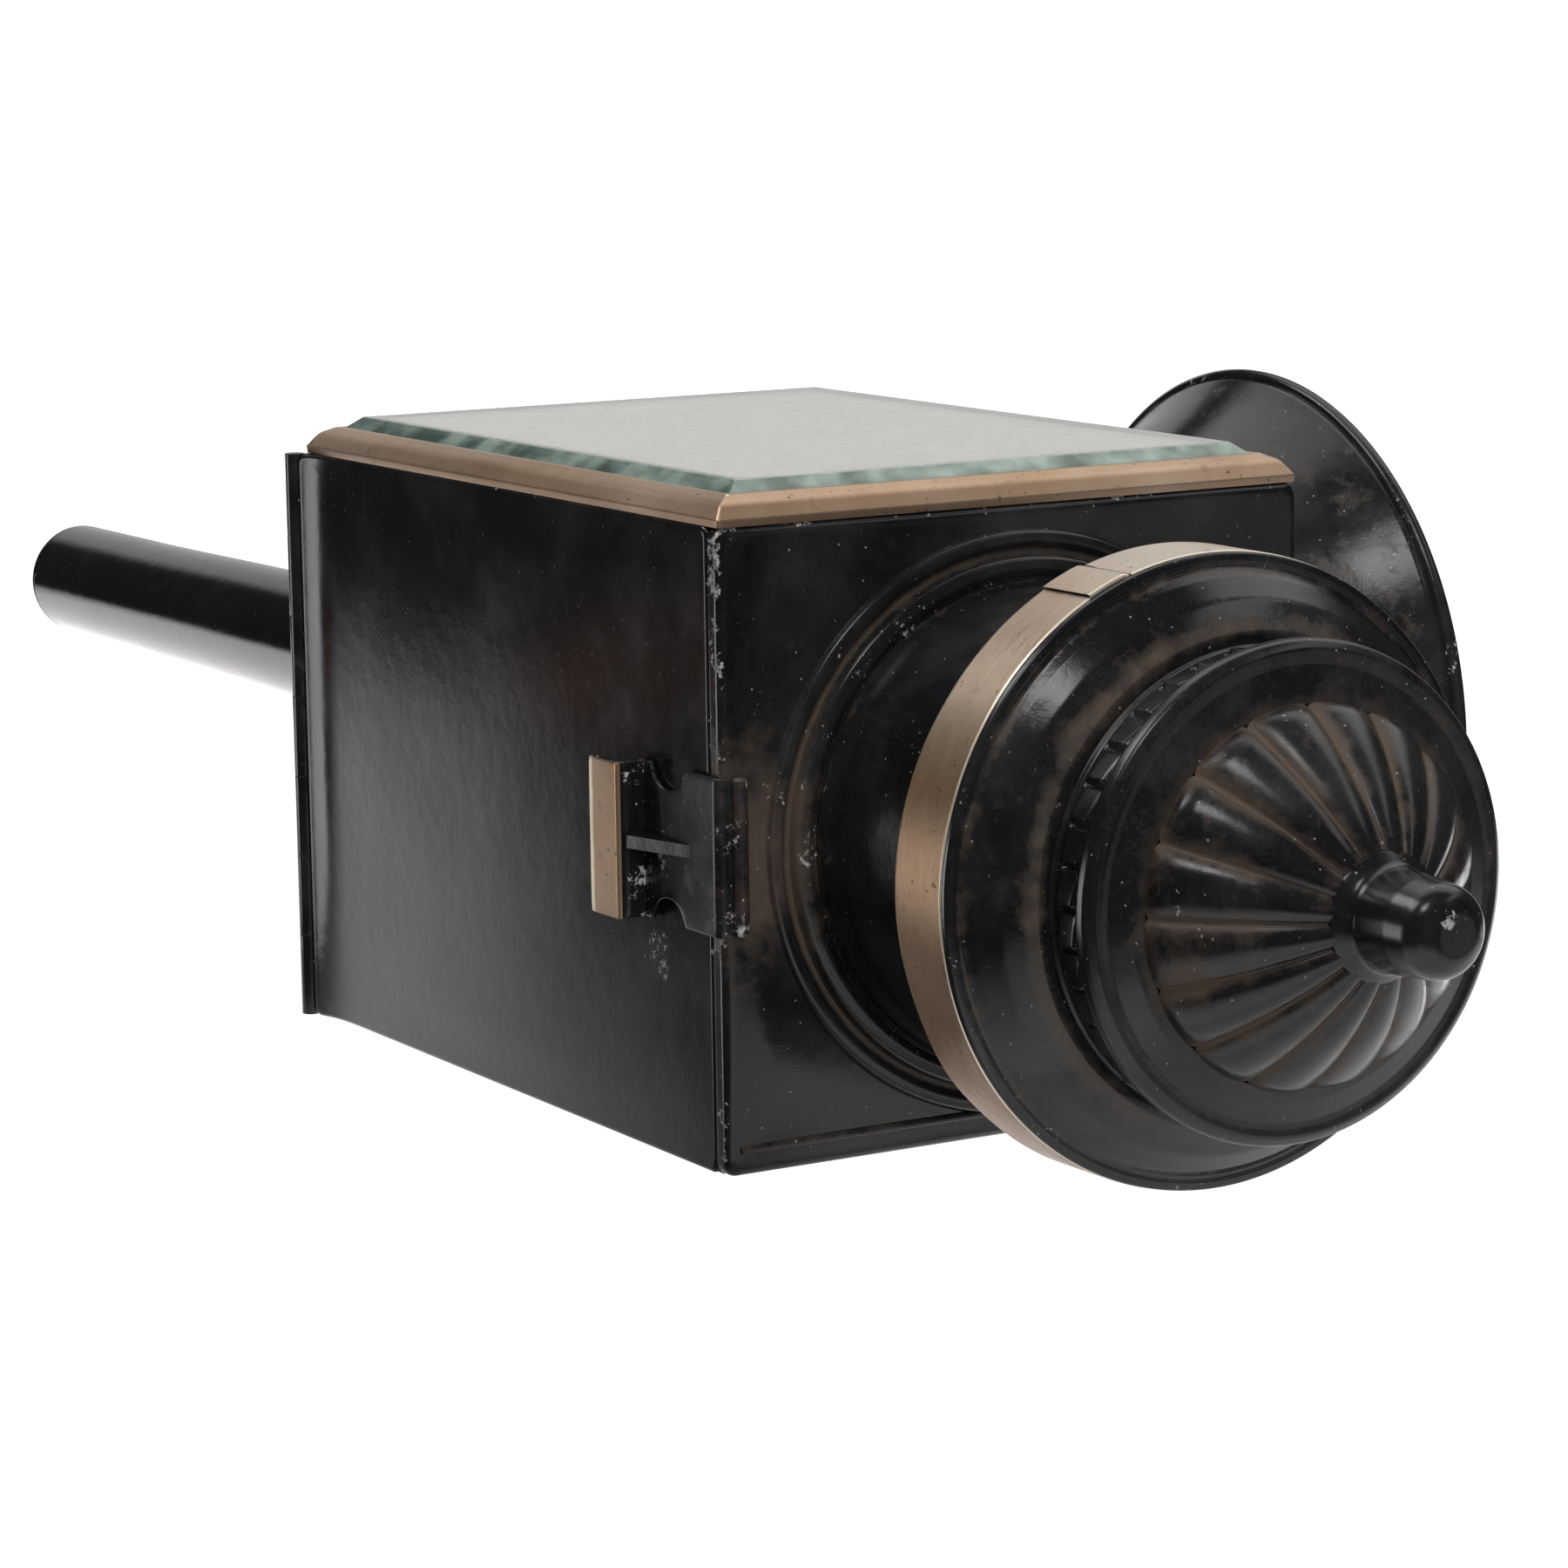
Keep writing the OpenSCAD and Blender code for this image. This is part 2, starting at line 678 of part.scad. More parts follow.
module catch_rib() {
    y0 = catch_y + catch_t;
    color(black) raised() translate([1.1, 0, 0]) rotate([0, -90, 0]) linear_extrude(height = 2.2)
        polygon([[catch_foot + 4.6, y0], [catch_foot + 4.6, y0 + lip_out - 2], [catch_foot + 20, y0]]);
}

module catch_bracket() {
    ear = 2.4;
    ear_x = catch_w / 4 + 0.3;
    color(black) raised() difference() {
        for (s = [0, 1])
            mirror([s, 0, 0]) translate([ear_x, half_d, catch_foot - 1.4]) cube([ear, pin_y - half_d + 1.5, 4.2]);
        translate([-catch_w, pin_y, pin_z]) rotate([0, 90, 0]) cylinder(r = pin_r, h = 2 * catch_w, $fn = 48);
    }
}

// Leaf that presses the catch home
module catch_spring() {
    color(tin) raised() translate([-4, half_d, catch_foot + 5]) cube([8, 0.4, 13]);
}

module catch_pin() {
    half = catch_w / 4 + 0.3 + 2.4;
    color(brass) raised() translate([-half, pin_y, pin_z]) rotate([0, 90, 0]) cylinder(r = pin_r, h = 2 * half, $fn = 48);
}

base_plate();
plain_side_panel();
light_side_panel();
front_panel();
roof_plate();
chimney_collar();
roof_rivets();
side_light_frame();
side_glass();
glass_packing();
glass_clips();
bell_mouth();
mouth_rim_wire();
front_glass_ring();
front_glass();
chimney_neck();
canopy();
canopy_band();
vent_gallery();
gallery_moulding();
fluted_dome();
finial();
flue_baffle();
finial_nut();
candle_tube();
tube_flange();
cap_lugs();
bottom_cap();
nozzle_pins();
nozzle_cap();
candle();
wick();
candle_follower();
candle_spring();
back_door();
door_knuckles();
base_knuckles();
hinge_wire();
door_reflector();
side_reflector();
catch_plate();
catch_lip();
catch_facing();
catch_rib();
catch_bracket();
catch_pin();
catch_spring();
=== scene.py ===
import json

import bmesh
import bpy
import numpy as np
from mathutils import Matrix, Vector


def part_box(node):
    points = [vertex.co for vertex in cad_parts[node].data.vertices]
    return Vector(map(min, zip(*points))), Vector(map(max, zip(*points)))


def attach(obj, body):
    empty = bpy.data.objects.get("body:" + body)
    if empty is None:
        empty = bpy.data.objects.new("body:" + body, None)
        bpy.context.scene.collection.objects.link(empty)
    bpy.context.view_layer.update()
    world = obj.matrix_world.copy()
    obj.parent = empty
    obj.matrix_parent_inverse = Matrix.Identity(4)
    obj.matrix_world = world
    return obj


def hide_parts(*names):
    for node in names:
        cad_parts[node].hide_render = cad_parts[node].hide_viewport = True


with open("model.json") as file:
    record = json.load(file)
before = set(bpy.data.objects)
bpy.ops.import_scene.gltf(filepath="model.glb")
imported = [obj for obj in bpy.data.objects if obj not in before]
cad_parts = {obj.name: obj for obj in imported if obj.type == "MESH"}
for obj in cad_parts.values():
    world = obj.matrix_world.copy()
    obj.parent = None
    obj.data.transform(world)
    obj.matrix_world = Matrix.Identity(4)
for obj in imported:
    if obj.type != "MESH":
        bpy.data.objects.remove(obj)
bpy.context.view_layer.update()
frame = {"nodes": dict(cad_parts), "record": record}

MM = 0.001
nodes = frame["nodes"]

# ---------------------------------------------------------------------------
# Camera
# It looks down past the roof at the door corner, with the side light at the
# top of the picture, as the lamp lies when it rests on its plain side.
# ---------------------------------------------------------------------------
EYE = Vector((0.14815, 0.45664, 1.11697))
AHEAD = Vector((-0.16657, -0.49860, -0.85068)).normalized()
PICTURE_UP = Vector((0.98592, -0.09683, -0.13630))

across = AHEAD.cross(PICTURE_UP).normalized()
upward = across.cross(AHEAD)
turn = Matrix((across, upward, -AHEAD)).transposed()
camera = bpy.data.objects.new("camera", bpy.data.cameras.new("camera"))
camera.matrix_world = Matrix.Translation(EYE) @ turn.to_4x4()
camera.data.sensor_width = 36.0
camera.data.lens = 112.82
camera.data.clip_start = 0.01
bpy.context.scene.collection.objects.link(camera)
bpy.context.scene.camera = camera


# ---------------------------------------------------------------------------
# Roof
# One sheet of iron, turned down along its four edges over the body, with a
# round opening for the chimney and a seam bead along its plain side. It is
# stove-enamelled black, and rubbed to bare grey metal along its edges.
# ---------------------------------------------------------------------------
def straight(start, end, step, guard=0.35 * MM):
    """Points from start up to, but not at, end: one just inside each end, and even steps between them."""
    length = np.linalg.norm(end - start)
    if length < 3 * guard:
        return start[None]
    inner = np.linspace(guard, length - guard, 2 + int(length / step))
    return start + (end - start) * np.concatenate([[0], inner])[:, None] / length


def outline(corners, closed=False, step=2.5 * MM, arc=7):
    """Points along the line through corners (x, y, radius). Each corner is an arc that touches both its
    sides: centre + radius * (sin((1 - t) a) u + sin(t a) v) / sin(a), where a is the turn from direction u
    to v."""
    corners = np.asarray(corners, float)
    p, radius = corners[:, :2], corners[:, 2:]
    back, on = np.roll(p, 1, 0) - p, np.roll(p, -1, 0) - p
    back /= np.linalg.norm(back, axis=1, keepdims=True)
    on /= np.linalg.norm(on, axis=1, keepdims=True)
    half = 0.5 * np.arccos(np.clip((back * on).sum(1, keepdims=True), -1, 1))
    middle = (back + on) / np.maximum(np.linalg.norm(back + on, axis=1, keepdims=True), 1e-9)
    centre = p + middle * radius / np.sin(half)
    reach = radius / np.tan(half)
    u, v, a = p + back * reach - centre, p + on * reach - centre, np.maximum(np.pi - 2 * half, 1e-4)
    t = np.linspace(0, 1, arc)[:, None, None]
    arcs = centre + (np.sin((1 - t) * a) * u + np.sin(t * a) * v) / np.sin(a)
    sharp = (radius[:, 0] < 1e-6) | ((np.arange(len(p)) % (len(p) - 1) == 0) & (not closed))
    stops = np.concatenate([p[i:i + 1] if sharp[i] else arcs[:, i] for i in range(len(p))])
    if closed:
        stops = np.concatenate([stops, stops[:1]])
    line = [straight(a, b, step) for a, b in zip(stops[:-1], stops[1:])]
    return np.concatenate(line if closed else line + [stops[-1:]])


def skin(name, grid, around=True, closed=False, **marks):
    """A mesh over grid[u, v]. closed joins the last u to the first, and around the last v to the first.
    marks are values for each point, kept as attributes that the finishes read."""
    rows, columns = grid.shape[:2]
    index = np.arange(rows * columns).reshape(rows, columns)
    index = np.vstack([index, index[:1]]) if closed else index
    index = np.hstack([index, index[:, :1]]) if around else index
    quads = np.stack([index[:-1, :-1], index[1:, :-1], index[1:, 1:], index[:-1, 1:]], -1)
    mesh = bpy.data.meshes.new(name)
    mesh.from_pydata(grid.reshape(-1, 3).tolist(), [], quads.reshape(-1, 4).tolist())
    for mark, values in marks.items():
        layer = mesh.attributes.new(mark, "FLOAT", "POINT")
        layer.data.foreach_set("value", np.broadcast_to(values, (rows, columns)).astype(np.float32).ravel())
    shell = bmesh.new()
    shell.from_mesh(mesh)
    bmesh.ops.remove_doubles(shell, verts=shell.verts, dist=1e-6)
    bmesh.ops.recalc_face_normals(shell, faces=shell.faces)
    shell.to_mesh(mesh)
    shell.free()
    mesh.shade_smooth()
    piece = bpy.data.objects.new(name, mesh)
    bpy.context.scene.collection.objects.link(piece)
    return piece


def waves(points, size, seed, count=14):
    """Smooth unevenness of about -1 to 1: a sum of sine waves of about one size, in seeded directions."""
    draw = np.random.default_rng(seed)
    lines = draw.normal(size=(count, 3))
    variety = draw.uniform(0.6, 1.4, (count, 1))
    lines *= 2 * np.pi / size / np.linalg.norm(lines, axis=1, keepdims=True) * variety
    return np.sin(points @ lines.T + draw.uniform(0, 2 * np.pi, count)).sum(-1) / np.sqrt(count)


def bump_at(points, centre, spread):
    """A round swelling: exp(-(distance / spread) squared)."""
    return np.exp(-((points - np.asarray(centre)) ** 2).sum(-1) / spread ** 2)


def pan(half_a, half_b, corner, section, hole=None, rings=14):
    """Grid of (a, b, rise) for a sheet with a rectangular edge. section is the edge's own line of
    (inset, rise), from the top face to the underside. An inset s shrinks the rectangle to half sizes
    half_a - s and half_b - s. From the line's ends the faces run in to the centre, or to a round hole."""
    edge = outline([(half_a, -half_b, corner), (half_a, half_b, corner),
                    (-half_a, half_b, corner), (-half_a, -half_b, corner)], closed=True)
    inset, rise = section[:, :1], section[:, 1:]
    shrink = np.stack([1 - inset / half_a, 1 - inset / half_b], -1)
    skirt = np.dstack([edge[None] * shrink, np.broadcast_to(rise, (len(rise), len(edge)))])
    f = np.linspace(0, 1, rings, endpoint=False)[:, None, None]
    start = 0 if hole is None else hole * edge / np.linalg.norm(edge, axis=1, keepdims=True)

    def face(border):
        flat = start + (border[None, :, :2] - start) * f
        return np.dstack([flat, np.broadcast_to(border[0, 2], flat.shape[:2])])

    return np.concatenate([face(skirt[0]), skirt, face(skirt[-1])[::-1]])


def node(tree, kind, inputs=None, **settings):
    """A shader node with its settings; an input is a value or another node's socket."""
    made = tree.nodes.new(kind)
    for key, value in settings.items():
        setattr(made, key, value)
    for key, value in (inputs or {}).items():
        if isinstance(value, bpy.types.NodeSocket):
            tree.links.new(value, made.inputs[key])
        else:
            made.inputs[key].default_value = value
    return made


def ramp(tree, value, low, high, bottom=0.0, top=1.0):
    """value, taken from low..high to bottom..top and held there."""
    made = node(tree, "ShaderNodeMapRange", {0: value, 1: low, 2: high, 3: bottom, 4: top})
    return made.outputs[0]


def times(tree, a, b, operation="MULTIPLY"):
    """a times b, or another operation on the two."""
    return node(tree, "ShaderNodeMath", {0: a, 1: b}, operation=operation).outputs[0]


def tint(tree, amount, a, b):
    """Colour a, turning to colour b as amount goes from 0 to 1."""
    made = node(tree, "ShaderNodeMix", {0: amount}, data_type="RGBA")
    for key, value in ((6, a), (7, b)):
        if isinstance(value, bpy.types.NodeSocket):
            tree.links.new(value, made.inputs[key])
        else:
            made.inputs[key].default_value = (*value, 1)
    return made.outputs[2]


def new_finish(name, **settings):
    """A material with one Principled shader, its constant sockets set, and its object coordinates."""
    made = bpy.data.materials.new(name)
    made.use_nodes = True
    tree = made.node_tree
    shader = tree.nodes["Principled BSDF"]
    for key, value in settings.items():
        shader.inputs[key.replace("_", " ").title().replace("Ior", "IOR")].default_value = value
    place = node(tree, "ShaderNodeTexCoord").outputs["Object"]
    return made, tree, shader, place


def noise(tree, place, scale, detail=3.0, roughness=0.55, stretch=None):
    """Cloudy noise of 0 to 1 at place. stretch scales its three directions."""
    if stretch is not None:
        place = node(tree, "ShaderNodeMapping", {"Vector": place, "Scale": stretch}).outputs[0]
    made = node(tree, "ShaderNodeTexNoise",
                {"Vector": place, "Scale": scale, "Detail": detail, "Roughness": roughness})
    return made.outputs["Fac"]


def mark(tree, name):
    """A value kept on the mesh by skin."""
    return node(tree, "ShaderNodeAttribute", attribute_name=name).outputs["Fac"]


def enamel(name, gloss=0.17, dust=1.0, dirt=(0.054, 0.040, 0.029)):
    """Black stove enamel: dust film and specks, dirt in the corners that the grime mark gives, bare grey
    metal in chips where the wear mark is high, hairline scratches, and a faint orange peel."""
    made, tree, shader, place = new_finish(name, ior=1.5)
    film = ramp(tree, noise(tree, place, 34, 6, 0.68), 0.46, 0.78)
    specks = node(tree, "ShaderNodeTexVoronoi", {"Vector": place, "Scale": 560.0})
    speck = times(tree, ramp(tree, specks.outputs["Distance"], 0.06, 0.14, 1.0, 0.0),
                  ramp(tree, noise(tree, place, 900, 0), 0.58, 0.66))
    scratched = ramp(tree, noise(tree, place, 7, 2, 0.5), 0.4, 0.6)
    off_line = times(tree, noise(tree, place, 30, 5, 0.6, (9.0, 9.0, 0.8)), 0.5, "SUBTRACT")
    scratch = times(tree, ramp(tree, off_line, -0.006, 0.0), scratched)
    scratch = times(tree, scratch, ramp(tree, off_line, 0.0, 0.006, 1.0, 0.0))
    worn = times(tree, mark(tree, "wear"), noise(tree, place, 800, 6, 0.75), "ADD")
    worn = times(tree, worn, noise(tree, place, 110, 3, 0.6), "ADD")
    chips = ramp(tree, worn, 1.40, 1.46)
    dirty = ramp(tree, times(tree, mark(tree, "grime"), noise(tree, place, 160, 5, 0.7), "ADD"), 0.72, 1.20)
    colour = tint(tree, times(tree, film, 0.30 * dust), (0.0045, 0.0045, 0.0052), (0.050, 0.048, 0.047))
    colour = tint(tree, times(tree, dirty, 0.85), colour, dirt)
    colour = tint(tree, times(tree, scratch, 0.12 * dust), colour, (0.10, 0.10, 0.10))
    colour = tint(tree, times(tree, speck, 0.45 * dust), colour, (0.32, 0.31, 0.30))
    colour = tint(tree, chips, colour, (0.26, 0.25, 0.24))
    tree.links.new(colour, shader.inputs["Base Color"])
    rough = ramp(tree, film, 0.0, 1.0, gloss, gloss + 0.10 * dust)
    rough = times(tree, rough, times(tree, dirty, 0.42), "ADD")
    rough = times(tree, rough, times(tree, chips, 0.25), "ADD")
    tree.links.new(rough, shader.inputs["Roughness"])
    peel = times(tree, noise(tree, place, 240, 2), times(tree, noise(tree, place, 2200, 2), 0.25), "ADD")
    peel = times(tree, peel, times(tree, chips, -0.9), "ADD")
    peel = times(tree, peel, times(tree, dirty, times(tree, noise(tree, place, 1300, 4), 1.6)), "ADD")
    relief = node(tree, "ShaderNodeBump", {"Strength": 0.16, "Distance": 0.25 * MM, "Height": peel})
    tree.links.new(relief.outputs[0], shader.inputs["Normal"])
    return made


def fit_up(piece, finish, body="lamp", stands_for=()):
    """Gives a piece its finish, and says which body it moves with and which plain solids it stands for."""
    piece.data.materials.append(finish)
    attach(piece, body)
    if stands_for:
        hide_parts(*stands_for)
    return piece


body_enamel = enamel("body_enamel")
half_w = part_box("roof_plate")[1].x
half_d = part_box("roof_plate")[1].y
roof_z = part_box("chimney_collar")[0].z
lip_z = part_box("roof_plate")[0].z
foot_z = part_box("base_plate")[0].z
sheet_t = 1.0 * MM
edge_r = 1.5 * MM

roof_section = outline([(2.4 * MM, 0, 0), (0, 0, edge_r), (0, lip_z - roof_z, 0.3 * MM),
                        (sheet_t, lip_z - roof_z, 0.3 * MM), (sheet_t, -sheet_t, 0.3 * MM),
                        (2.4 * MM, -sheet_t, 0)], step=1.2 * MM)
hole_r = 40.0 * MM
grid = pan(half_w, half_d, 2.2 * MM, roof_section, hole=hole_r)
grid[..., 2] += roof_z
out = np.abs(grid[..., :2]) / (half_w, half_d)
edge = np.maximum(out[..., 0], out[..., 1])
lift = 0.35 * MM * waves(grid, 60 * MM, 5) * np.clip((1 - edge) * 8, 0, 1)
rubbed = np.clip((edge - 0.972) / 0.02, 0, 1)
corner = np.clip((out[..., 0] - 0.72) / 0.25, 0, 1) * np.clip((out[..., 1] - 0.72) / 0.25, 0, 1)
grid[..., 2] += lift
catch_side = bump_at(grid, (0.0, half_d - 6 * MM, roof_z), 17 * MM)
light_edge = rubbed * (grid[..., 0] > 0.9 * half_w)
roof = skin("roof_sheet", grid, closed=True,
            wear=0.22 * rubbed + 0.07 * light_edge + 0.03 * corner + 0.24 * catch_side,
            grime=0.12 * corner + 0.75 * catch_side + 0.05)
fit_up(roof, body_enamel, stands_for=["roof_plate"])


def rod(start, end, radius, name, sides=20, ball=0.5, **marks):
    """A round bar with its ends rounded over: within ball * radius of an end its radius falls from full
    by ball * radius * (1 - sqrt(1 - (1 - near) squared)), where near goes from 0 at the end to 1."""
    start, end = np.asarray(start, float), np.asarray(end, float)
    length = np.linalg.norm(end - start)
    along = (end - start) / length
    side = np.cross(along, (0.3, 0.5, 0.81))
    side /= np.linalg.norm(side)
    other = np.cross(along, side)
    cap = ball * radius
    quarter = np.sin(np.linspace(0, np.pi / 2, 7))
    shank = np.linspace(cap, length - cap, 2 + int(length / (4 * MM)))[1:-1]
    reach = np.concatenate([cap * (1 - quarter[::-1]), shank, length - cap * (1 - quarter)])
    near = np.clip(np.minimum(reach, length - reach) / cap, 0, 1)
    wide = radius * (1 - ball + ball * np.sqrt(1 - (1 - near) ** 2))
    reach = np.concatenate([[0], reach, [length]])
    wide = np.concatenate([[0], wide, [0]])
    angle = np.linspace(0, 2 * np.pi, sides, endpoint=False)
    ring = np.cos(angle)[:, None] * side + np.sin(angle)[:, None] * other
    return skin(name, start + reach[:, None, None] * along + wide[:, None, None] * ring, **marks)


seam_x = -half_w + 4.6 * MM
seam_y = half_d - 2.5 * MM
seam = rod((seam_x, -seam_y, roof_z), (seam_x, seam_y, roof_z), 0.8 * MM, "roof_seam", wear=0.14, grime=0.35)
fit_up(seam, body_enamel)

# ---------------------------------------------------------------------------
# Chimney: collar and neck
# A spun collar with a soft outer bead, a groove and a rolled inner bead is
# soldered to the roof, and the plain drum of the neck stands in it.
# ---------------------------------------------------------------------------
def turned(profile, sides=200):
    """Grid of a profile (radius, height) carried round an upright axis: (r cos a, r sin a, height)."""
    angle = np.linspace(0, 2 * np.pi, sides, endpoint=False)
    radius, height = profile[:, :1], profile[:, 1:]
    height = np.broadcast_to(height, (len(height), sides))
    return np.dstack([radius * np.cos(angle), radius * np.sin(angle), height])


def turned_line(corners, foot, closed=True, step=2.0 * MM, arc=7):
    """A turner's outline: corners (radius, height, rounding) in millimetres, with the heights above foot."""
    line = outline(np.array(corners, float) * MM, closed, step, arc)
    return line + (0, foot)


collar = turned_line([(51.2, -0.2, 0.5), (50.4, 1.5, 1.0), (48.6, 1.7, 0.9), (47.5, 0.6, 0.8),
                      (46.6, 0.6, 0.25), (46.2, 2.7, 1.0), (44.2, 3.3, 0.9), (42.9, 2.7, 0.4),
                      (42.2, 2.7, 0.2), (42.2, -0.2, 0.2)], roof_z, arc=6)
grid = turned(collar)
from_axis = np.hypot(grid[..., 0], grid[..., 1])
rise = grid[..., 2] - roof_z
side_of_catch = bump_at(grid, (0.0, 49 * MM, roof_z), 16 * MM)
collar_piece = skin("collar_spinning", grid, closed=True,
                    wear=0.20 * np.clip((rise - 1.0 * MM) / MM, 0, 1) + 0.08 * side_of_catch,
                    grime=0.45 * np.exp(-((from_axis - 47.0 * MM) / (0.8 * MM)) ** 2) + 0.5 * side_of_catch
                    + 0.5 * np.exp(-(rise / (0.6 * MM)) ** 2))
fit_up(collar_piece, body_enamel, stands_for=["chimney_collar"])

neck_low, neck_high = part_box("chimney_neck")
neck_h = (neck_high.z - neck_low.z) / MM
neck = turned_line([(42.5, 0, 0), (42.5, 14, 6), (42.3, 26, 6), (42.5, neck_h, 0), (41.5, neck_h, 0),
                    (41.5, 0, 0)], neck_low.z)
grid = turned(neck)
grid[..., :2] *= 1 + 0.0022 * waves(grid, 45 * MM, 8)[..., None]
grime_low = np.exp(-((grid[..., 2] - neck_low.z) / (3 * MM)))
grime_high = np.exp(-((neck_high.z - grid[..., 2]) / (5 * MM)))
fit_up(skin("neck_drum", grid, closed=True, wear=0.05, grime=0.30 * grime_low + 0.25 * grime_high),
       body_enamel, stands_for=["chimney_neck"])

# ---------------------------------------------------------------------------
# Chimney: canopy and its bright band
# The canopy is one spinning, with a flat underside, a rolled rim and a
# rounded top that rises to the vents. A flat brass band, once plated and now
# brown with a bright front edge, is lapped and soldered round its rim.
# ---------------------------------------------------------------------------
canopy_enamel = enamel("canopy_enamel", gloss=0.15, dust=0.9)
band_low, band_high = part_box("canopy_band")
rim_z = band_high.z
drop = band_low.z - rim_z
under = drop / MM
climb = (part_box("vent_gallery")[0].z - rim_z) / MM
canopy = turned_line([(42.0, under, 0.2), (51.6, under, 0.5), (51.6, -0.6, 0.3), (52.5, 0.0, 0.5),
                      (52.4, 1.3, 0.7), (51.0, 1.5, 0.5), (50.2, 1.1, 0.9), (48.6, 3.2, 3.0),
                      (45.6, 6.4, 5.0), (42.6, 8.3, 3.0), (40.6, climb, 0.6), (36.5, climb, 0.4),
                      (36.5, climb - 1.2, 0.2), (42.0, 7.0, 4.0), (49.8, 0.5, 1.0),
                      (50.6, under + 1.0, 0.3), (42.0, under + 1.0, 0.2)], rim_z, arc=8)
grid = turned(canopy, sides=260)
from_axis = np.hypot(grid[..., 0], grid[..., 1])
rise = grid[..., 2] - rim_z
top = np.clip(rise / (2 * MM), 0, 1)
grid[..., 2] += 0.22 * MM * waves(grid, 34 * MM, 3) * top
rim_wear = np.exp(-((rise - 1.2 * MM) / (0.9 * MM)) ** 2) * (from_axis > 49 * MM)
canopy_piece = skin("canopy_spinning", grid, closed=True,
                    wear=0.22 * rim_wear * (0.8 + 0.4 * waves(grid, 30 * MM, 12)),
                    grime=0.12 * top + 0.36 * np.exp(-((from_axis - 41.4 * MM) / (1.8 * MM)) ** 2) * top
                    + 0.30 * np.exp(-((from_axis - 50.2 * MM) / (1.0 * MM)) ** 2) * top)
fit_up(canopy_piece, canopy_enamel, stands_for=["canopy"])


def worn_brass(name, lines=(1.0, 1.0, 1.0), pale=0.5, plating_and_sheen_span=None):
    """Old plated brass: brown copper tone and pale plating in patches, fine drawn lines, dark stains and
    specks, and a bright rubbed edge where the wear mark is high. The optional span along X is where the pale
    patches fade in towards +X, the side under the top light: partly plating, partly painted sheen on that lit
    side."""
    made, tree, shader, place = new_finish(name, metallic=0.82)
    patches = ramp(tree, noise(tree, place, 26, 4, 0.6), 0.38, 0.64, 0.0, pale)
    # Painted sheen: the pale plating fades in only towards +X, the side under the top light, so that side is
    # painted paler; partly plating, partly painted sheen.
    if plating_and_sheen_span:
        spot = node(tree, "ShaderNodeSeparateXYZ", {0: place}).outputs[0]
        patches = times(tree, ramp(tree, spot, *plating_and_sheen_span), times(tree, patches, 0.5, "ADD"))
    fine = noise(tree, place, 160, 4, 0.6, lines)
    stains = ramp(tree, noise(tree, place, 210, 6, 0.7), 0.60, 0.72)
    spots = ramp(tree, noise(tree, place, 750, 2, 0.5), 0.68, 0.73)
    rubbed = ramp(tree, times(tree, mark(tree, "wear"), times(tree, fine, 0.3), "ADD"), 0.75, 0.95)
    smut = times(tree, noise(tree, place, 260, 5, 0.7), 0.9)
    dark = ramp(tree, times(tree, mark(tree, "grime"), smut, "ADD"), 0.85, 1.15)
    colour = tint(tree, patches, (0.375, 0.240, 0.145), (0.75, 0.665, 0.57))
    colour = tint(tree, times(tree, fine, 0.35), colour, (0.36, 0.26, 0.19))
    colour = tint(tree, times(tree, stains, 0.45), colour, (0.13, 0.085, 0.058))
    colour = tint(tree, times(tree, spots, 0.7), colour, (0.05, 0.035, 0.03))
    colour = tint(tree, rubbed, colour, (0.86, 0.76, 0.60))
    colour = tint(tree, dark, colour, (0.02, 0.017, 0.015))
    tree.links.new(colour, shader.inputs["Base Color"])
    rough = times(tree, ramp(tree, fine, 0.3, 0.7, 0.27, 0.44), times(tree, stains, 0.15), "ADD")
    rough = times(tree, rough, times(tree, dark, 0.3), "ADD")
    tree.links.new(rough, shader.inputs["Roughness"])
    relief = node(tree, "ShaderNodeBump", {"Strength": 0.35, "Distance": 0.08 * MM, "Height": fine})
    tree.links.new(relief.outputs[0], shader.inputs["Normal"])
    return made


# The band's pale plating is kept towards +X, its lit top side: partly plating, partly painted sheen.
band_brass = worn_brass("band_brass", (1.0, 1.0, 14.0), pale=0.6, plating_and_sheen_span=(0.018, 0.052))
band_r = (band_high.x - band_low.x) / 2
band_t = 0.8 * MM
LAP_AT = np.radians(27)
LAP_LENGTH = np.radians(9)
DENT_AT = np.radians(118)
band_section = outline([(band_r, drop, 0.3 * MM), (band_r, 0, 0.35 * MM), (band_r - band_t, 0, 0.3 * MM),
                        (band_r - band_t, drop, 0.3 * MM)], closed=True, step=1.2 * MM)
angle = LAP_AT + np.linspace(0, 2 * np.pi, 320)
wide, height = band_section[:, :1], band_section[:, 1:]
# The strip's section goes once round, stepped out by a lap at its end. A dent is a short bell-shaped run of
# sine waves, deepest at the back edge, that moves the strip in and out and along the axis.
past_lap = angle - angle[-1] + LAP_LENGTH
lap = 0.55 * MM * np.clip(past_lap / np.radians(1.2), 0, 1)
dent = np.exp(-((angle - DENT_AT) / np.radians(17)) ** 2) * np.sin(9 * (angle - DENT_AT) + 0.6)
low = np.clip(height / drop, 0, 1)
radius = wide + lap - 0.3 * MM + 0.80 * MM * dent * low ** 2 + 0.12 * MM * np.sin(5 * angle + 1) * low
lift = 1.3 * MM * dent * low
grid = np.dstack([radius * np.cos(angle), radius * np.sin(angle), rim_z + height + lift])
front_edge = np.exp(-(height / (0.7 * MM)) ** 2)
back_edge = np.exp(-((height - drop) / (0.35 * MM)) ** 2)
seam_dark = np.exp(-(past_lap / np.radians(0.5)) ** 2)
drips = bump_at(grid, (band_r * np.cos(0.02), band_r * np.sin(0.02), rim_z - 1 * MM), 3.2 * MM)
band = skin("band_strip", grid, around=False, closed=True,
            wear=0.9 * front_edge + 0.35 * back_edge,
            grime=0.7 * seam_dark + 0.55 * drips)
fit_up(band, band_brass, stands_for=["canopy_band"])

